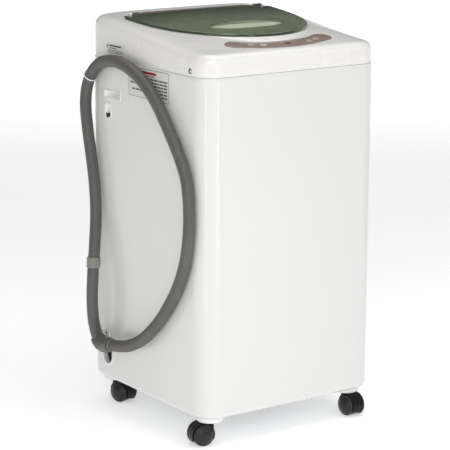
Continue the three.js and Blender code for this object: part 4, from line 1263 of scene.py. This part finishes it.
def add_drive():
    for node, r, bore, x, y, body in (("drive_pulley", DRIVE_R, 8.3, 0, 0, "wash_drive"),
            ("motor_pulley", MOTOR_R, 1, *MOTOR_AT, "motor_rotor")):
        rim = r + 4
        profile = [(bore, -8), (rim * 0.3, -8), (rim * 0.34, -3), (r - 6, -3), (r - 3, -8), (rim, -8),
                (rim, -6.2), (r, -4), (r, 4), (rim, 6.2), (rim, 8), (r - 3, 8), (r - 6, 3), (rim * 0.34, 3),
                (rim * 0.3, 8), (bore, 8)]
        wheel = lathe(rounded(profile, 0.6, 2) + [(bore, -8)], 72)
        place = moved(x, y, PULLEY_Z)
        parts = [placed(wheel, place)]
        if node == "motor_pulley":
            parts.append(placed(lathe([(0.01, -8), (6, -8), (6, 48), (0.01, 48)], 32), place))
        piece(node + "_turned", *merged(*parts), body, STEEL, [node])
    reach, heading = hypot(*MOTOR_AT), atan2(MOTOR_AT[1], MOTOR_AT[0])
    lean = acos((DRIVE_R - MOTOR_R) / reach)
    loop = []
    for i in range(49):
        a = heading + lean + (2 * pi - 2 * lean) * i / 48
        loop.append((0, 0, DRIVE_R, a))
    for i in range(25):
        a = heading - lean + 2 * lean * i / 24
        loop.append((*MOTOR_AT, MOTOR_R, a))
    rings = []
    for extra, z in ((0.5, -2.2), (3.4, -3), (3.6, 0), (3.4, 3), (0.5, 2.2)):
        rings.append([(cx + (r + extra) * cos(a), cy + (r + extra) * sin(a), PULLEY_Z + z)
                      for cx, cy, r, a in loop])
    piece("drive_belt_moulded", *skin(rings, wrap=True), "tub", RUBBER, ["drive_belt"])
    shaft = lathe([(0.01, 86)] + rounded([(7.2, 86), (8, 87), (8, 255), (7, 256)], 0.4) + [(0.01, 256)], 40)
    piece("drive_shaft_ground", *shaft, "wash_drive", STEEL, ["drive_shaft"])
    housing = rounded([(15, 118), (30, 118), (33, 130), (44, 142), (44, 190), (50, 196), (70, 198.4),
                       (70, 204.6)], 2)
    body = lathe(housing + [(15, 204.6), (15, 118)], 64)
    fins = [placed(box(40, 66, -2, 2, 150, 199), turned(60 * k + 20, "Z")) for k in range(6)]
    piece("bearing_housing_cast", *merged(body, box(60, 175, 25, 95, 199.2, 204.6), *fins), "tub", GALV,
          ["bearing_housing"], bevel=0.6)
    can = rounded([(6.6, 128), (20, 120.6), (38, 121), (46, 129), (46, 189), (42, 196), (40, 198.4),
                   (6.6, 198.4)], 3)
    can = placed(lathe(can + [(6.6, 128)], 72), moved(*MOTOR_AT, 0))
    vents = [placed(box(46, 47.4, -1.6, 1.6, 140, 180), moved(*MOTOR_AT, 0) @ turned(15 * k, "Z"))
             for k in range(24)]
    piece("motor_can", *merged(can, *vents), "tub", GALV, ["motor"])
    piece("drain_valve_moulded", *box(-135, -75, 95, 150, 140, 190), "tub", TUB_PP, ["drain_valve"], bevel=4)
    spout = placed(lathe(rounded([(8, -35), (12, -35), (12, 35), (8, 35)], 0.8) + [(8, -35)], 40),
                   moved(-165, 128, 160) @ turned(90, "Y"))
    neck = placed(lathe([(0.01, -10), (14, -10), (14, 10), (0.01, 10)], 40), moved(-105, 118, 195))
    actuator = placed(lathe([(0.01, -5)] + rounded([(20, -5), (20, 5)], 1) + [(0.01, 5)], 40),
                      moved(-105, 118, 137))
    piece("drain_valve_ports", *merged(spout, neck, actuator), "tub", TUB_PP)


def add_rear_fittings():
    flat = turned(-90, "X")
    nozzle = [(8, -10), (8, 14.6), (10.5, 15)]
    for k in range(6):
        nozzle += [(13, 14 - 2.4 * k), (12.2, 12.8 - 2.4 * k)]
    nozzle += [(13.2, -1.5), (15.6, -2.5), (15.6, -8), (13, -8.4), (13, -14), (8, -14), (8, -10)]
    threaded = placed(lathe(nozzle, 48), moved(INLET_X, 220, INLET_Z) @ flat)
    body = box(-112, -68, 170, 205, 792, 832)
    piece("inlet_valve_moulded", *merged(threaded, body), "root", BLUE_GREY, ["inlet_valve"], smooth=30)
    gland = rounded([(4.1, -9), (9.0, -9), (9.0, 0.6), (13, 0.8), (13, 4.4), (11, 5.2), (8, 9.6),
                     (4.1, 10.2)], 0.8)
    piece("cord_gland_moulded", *placed(lathe(gland + [(4.1, -9)], 48),
            moved(GLAND_X, 224.6, GLAND_Z) @ flat), "root", BLACK, ["cord_gland"])


add_base()
add_tub()
add_basket()
add_pulsator()
add_drive()
add_rear_fittings()

rods = [("suspension_rod_" + castor, STEEL) for castor in CASTORS]
for node, material in [("control_box", TUB_PP), ("control_board", BOARD)] + rods:
    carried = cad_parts[node]
    carried.data.materials.clear()
    carried.data.materials.append(material)


# ---- floor, backdrop and light ----
def add_stage():
    profile = [(-6, 0)] + [(2.6 + 1.4 * sin(radians(a)), 1.4 - 1.4 * cos(radians(a)))
            for a in range(0, 91, 6)] + [(4.0, 6)]
    points = [(x, y, z) for y, z in profile for x in (-9, 9)]
    faces = [(2 * i, 2 * i + 1, 2 * i + 3, 2 * i + 2) for i in range(len(profile) - 1)]
    mesh = bpy.data.meshes.new("floor")
    mesh.from_pydata(points, [], faces)
    for face in mesh.polygons:
        face.use_smooth = True
    mesh.materials.append(floor_white())
    floor = bpy.data.objects.new("floor", mesh)
    floor.matrix_world = turned(-35.4, "Z")
    bpy.context.collection.objects.link(floor)


def add_light(name, place, aim, width, height, power):
    data = bpy.data.lights.new(name, "AREA")
    data.shape, data.size, data.size_y, data.energy = "RECTANGLE", width, height, power
    light = bpy.data.objects.new(name, data)
    light.location = place
    light.rotation_euler = (Vector(aim) - Vector(place)).to_track_quat("-Z", "Y").to_euler()
    bpy.context.collection.objects.link(light)


WORLD_LIGHT = 0.33
add_stage()
world = bpy.data.worlds.new("studio")
world.use_nodes = True
sky = world.node_tree.nodes["Background"].inputs
sky["Color"].default_value = (1, 1, 1, 1)
sky["Strength"].default_value = WORLD_LIGHT
bpy.context.scene.world = world
LIGHTS = [  # name, place, aim, width, height, power
    ("viewer_soft", (-2.1, -2.95, 1.9), (0, 0, 0.45), 1.5, 1.5, 30),
    ("front_key", (1.6, -2.6, 2.0), (0, 0, 0.45), 1.8, 1.8, 8),
    ("top_soft", (0.2, -0.3, 2.9), (0, 0, 0.4), 2.4, 2.4, 30),
    ("corner_strip_left", (-1.09, -0.72, 0.65), (-0.2, -0.2, 0.45), 0.12, 1.25, 1.3),
    ("corner_strip_front", (-0.15, -1.3, 0.65), (-0.2, -0.2, 0.45), 0.12, 1.25, 1.3),
]
for row in LIGHTS:
    add_light(*row)
bpy.context.scene.view_settings.view_transform = "Standard"
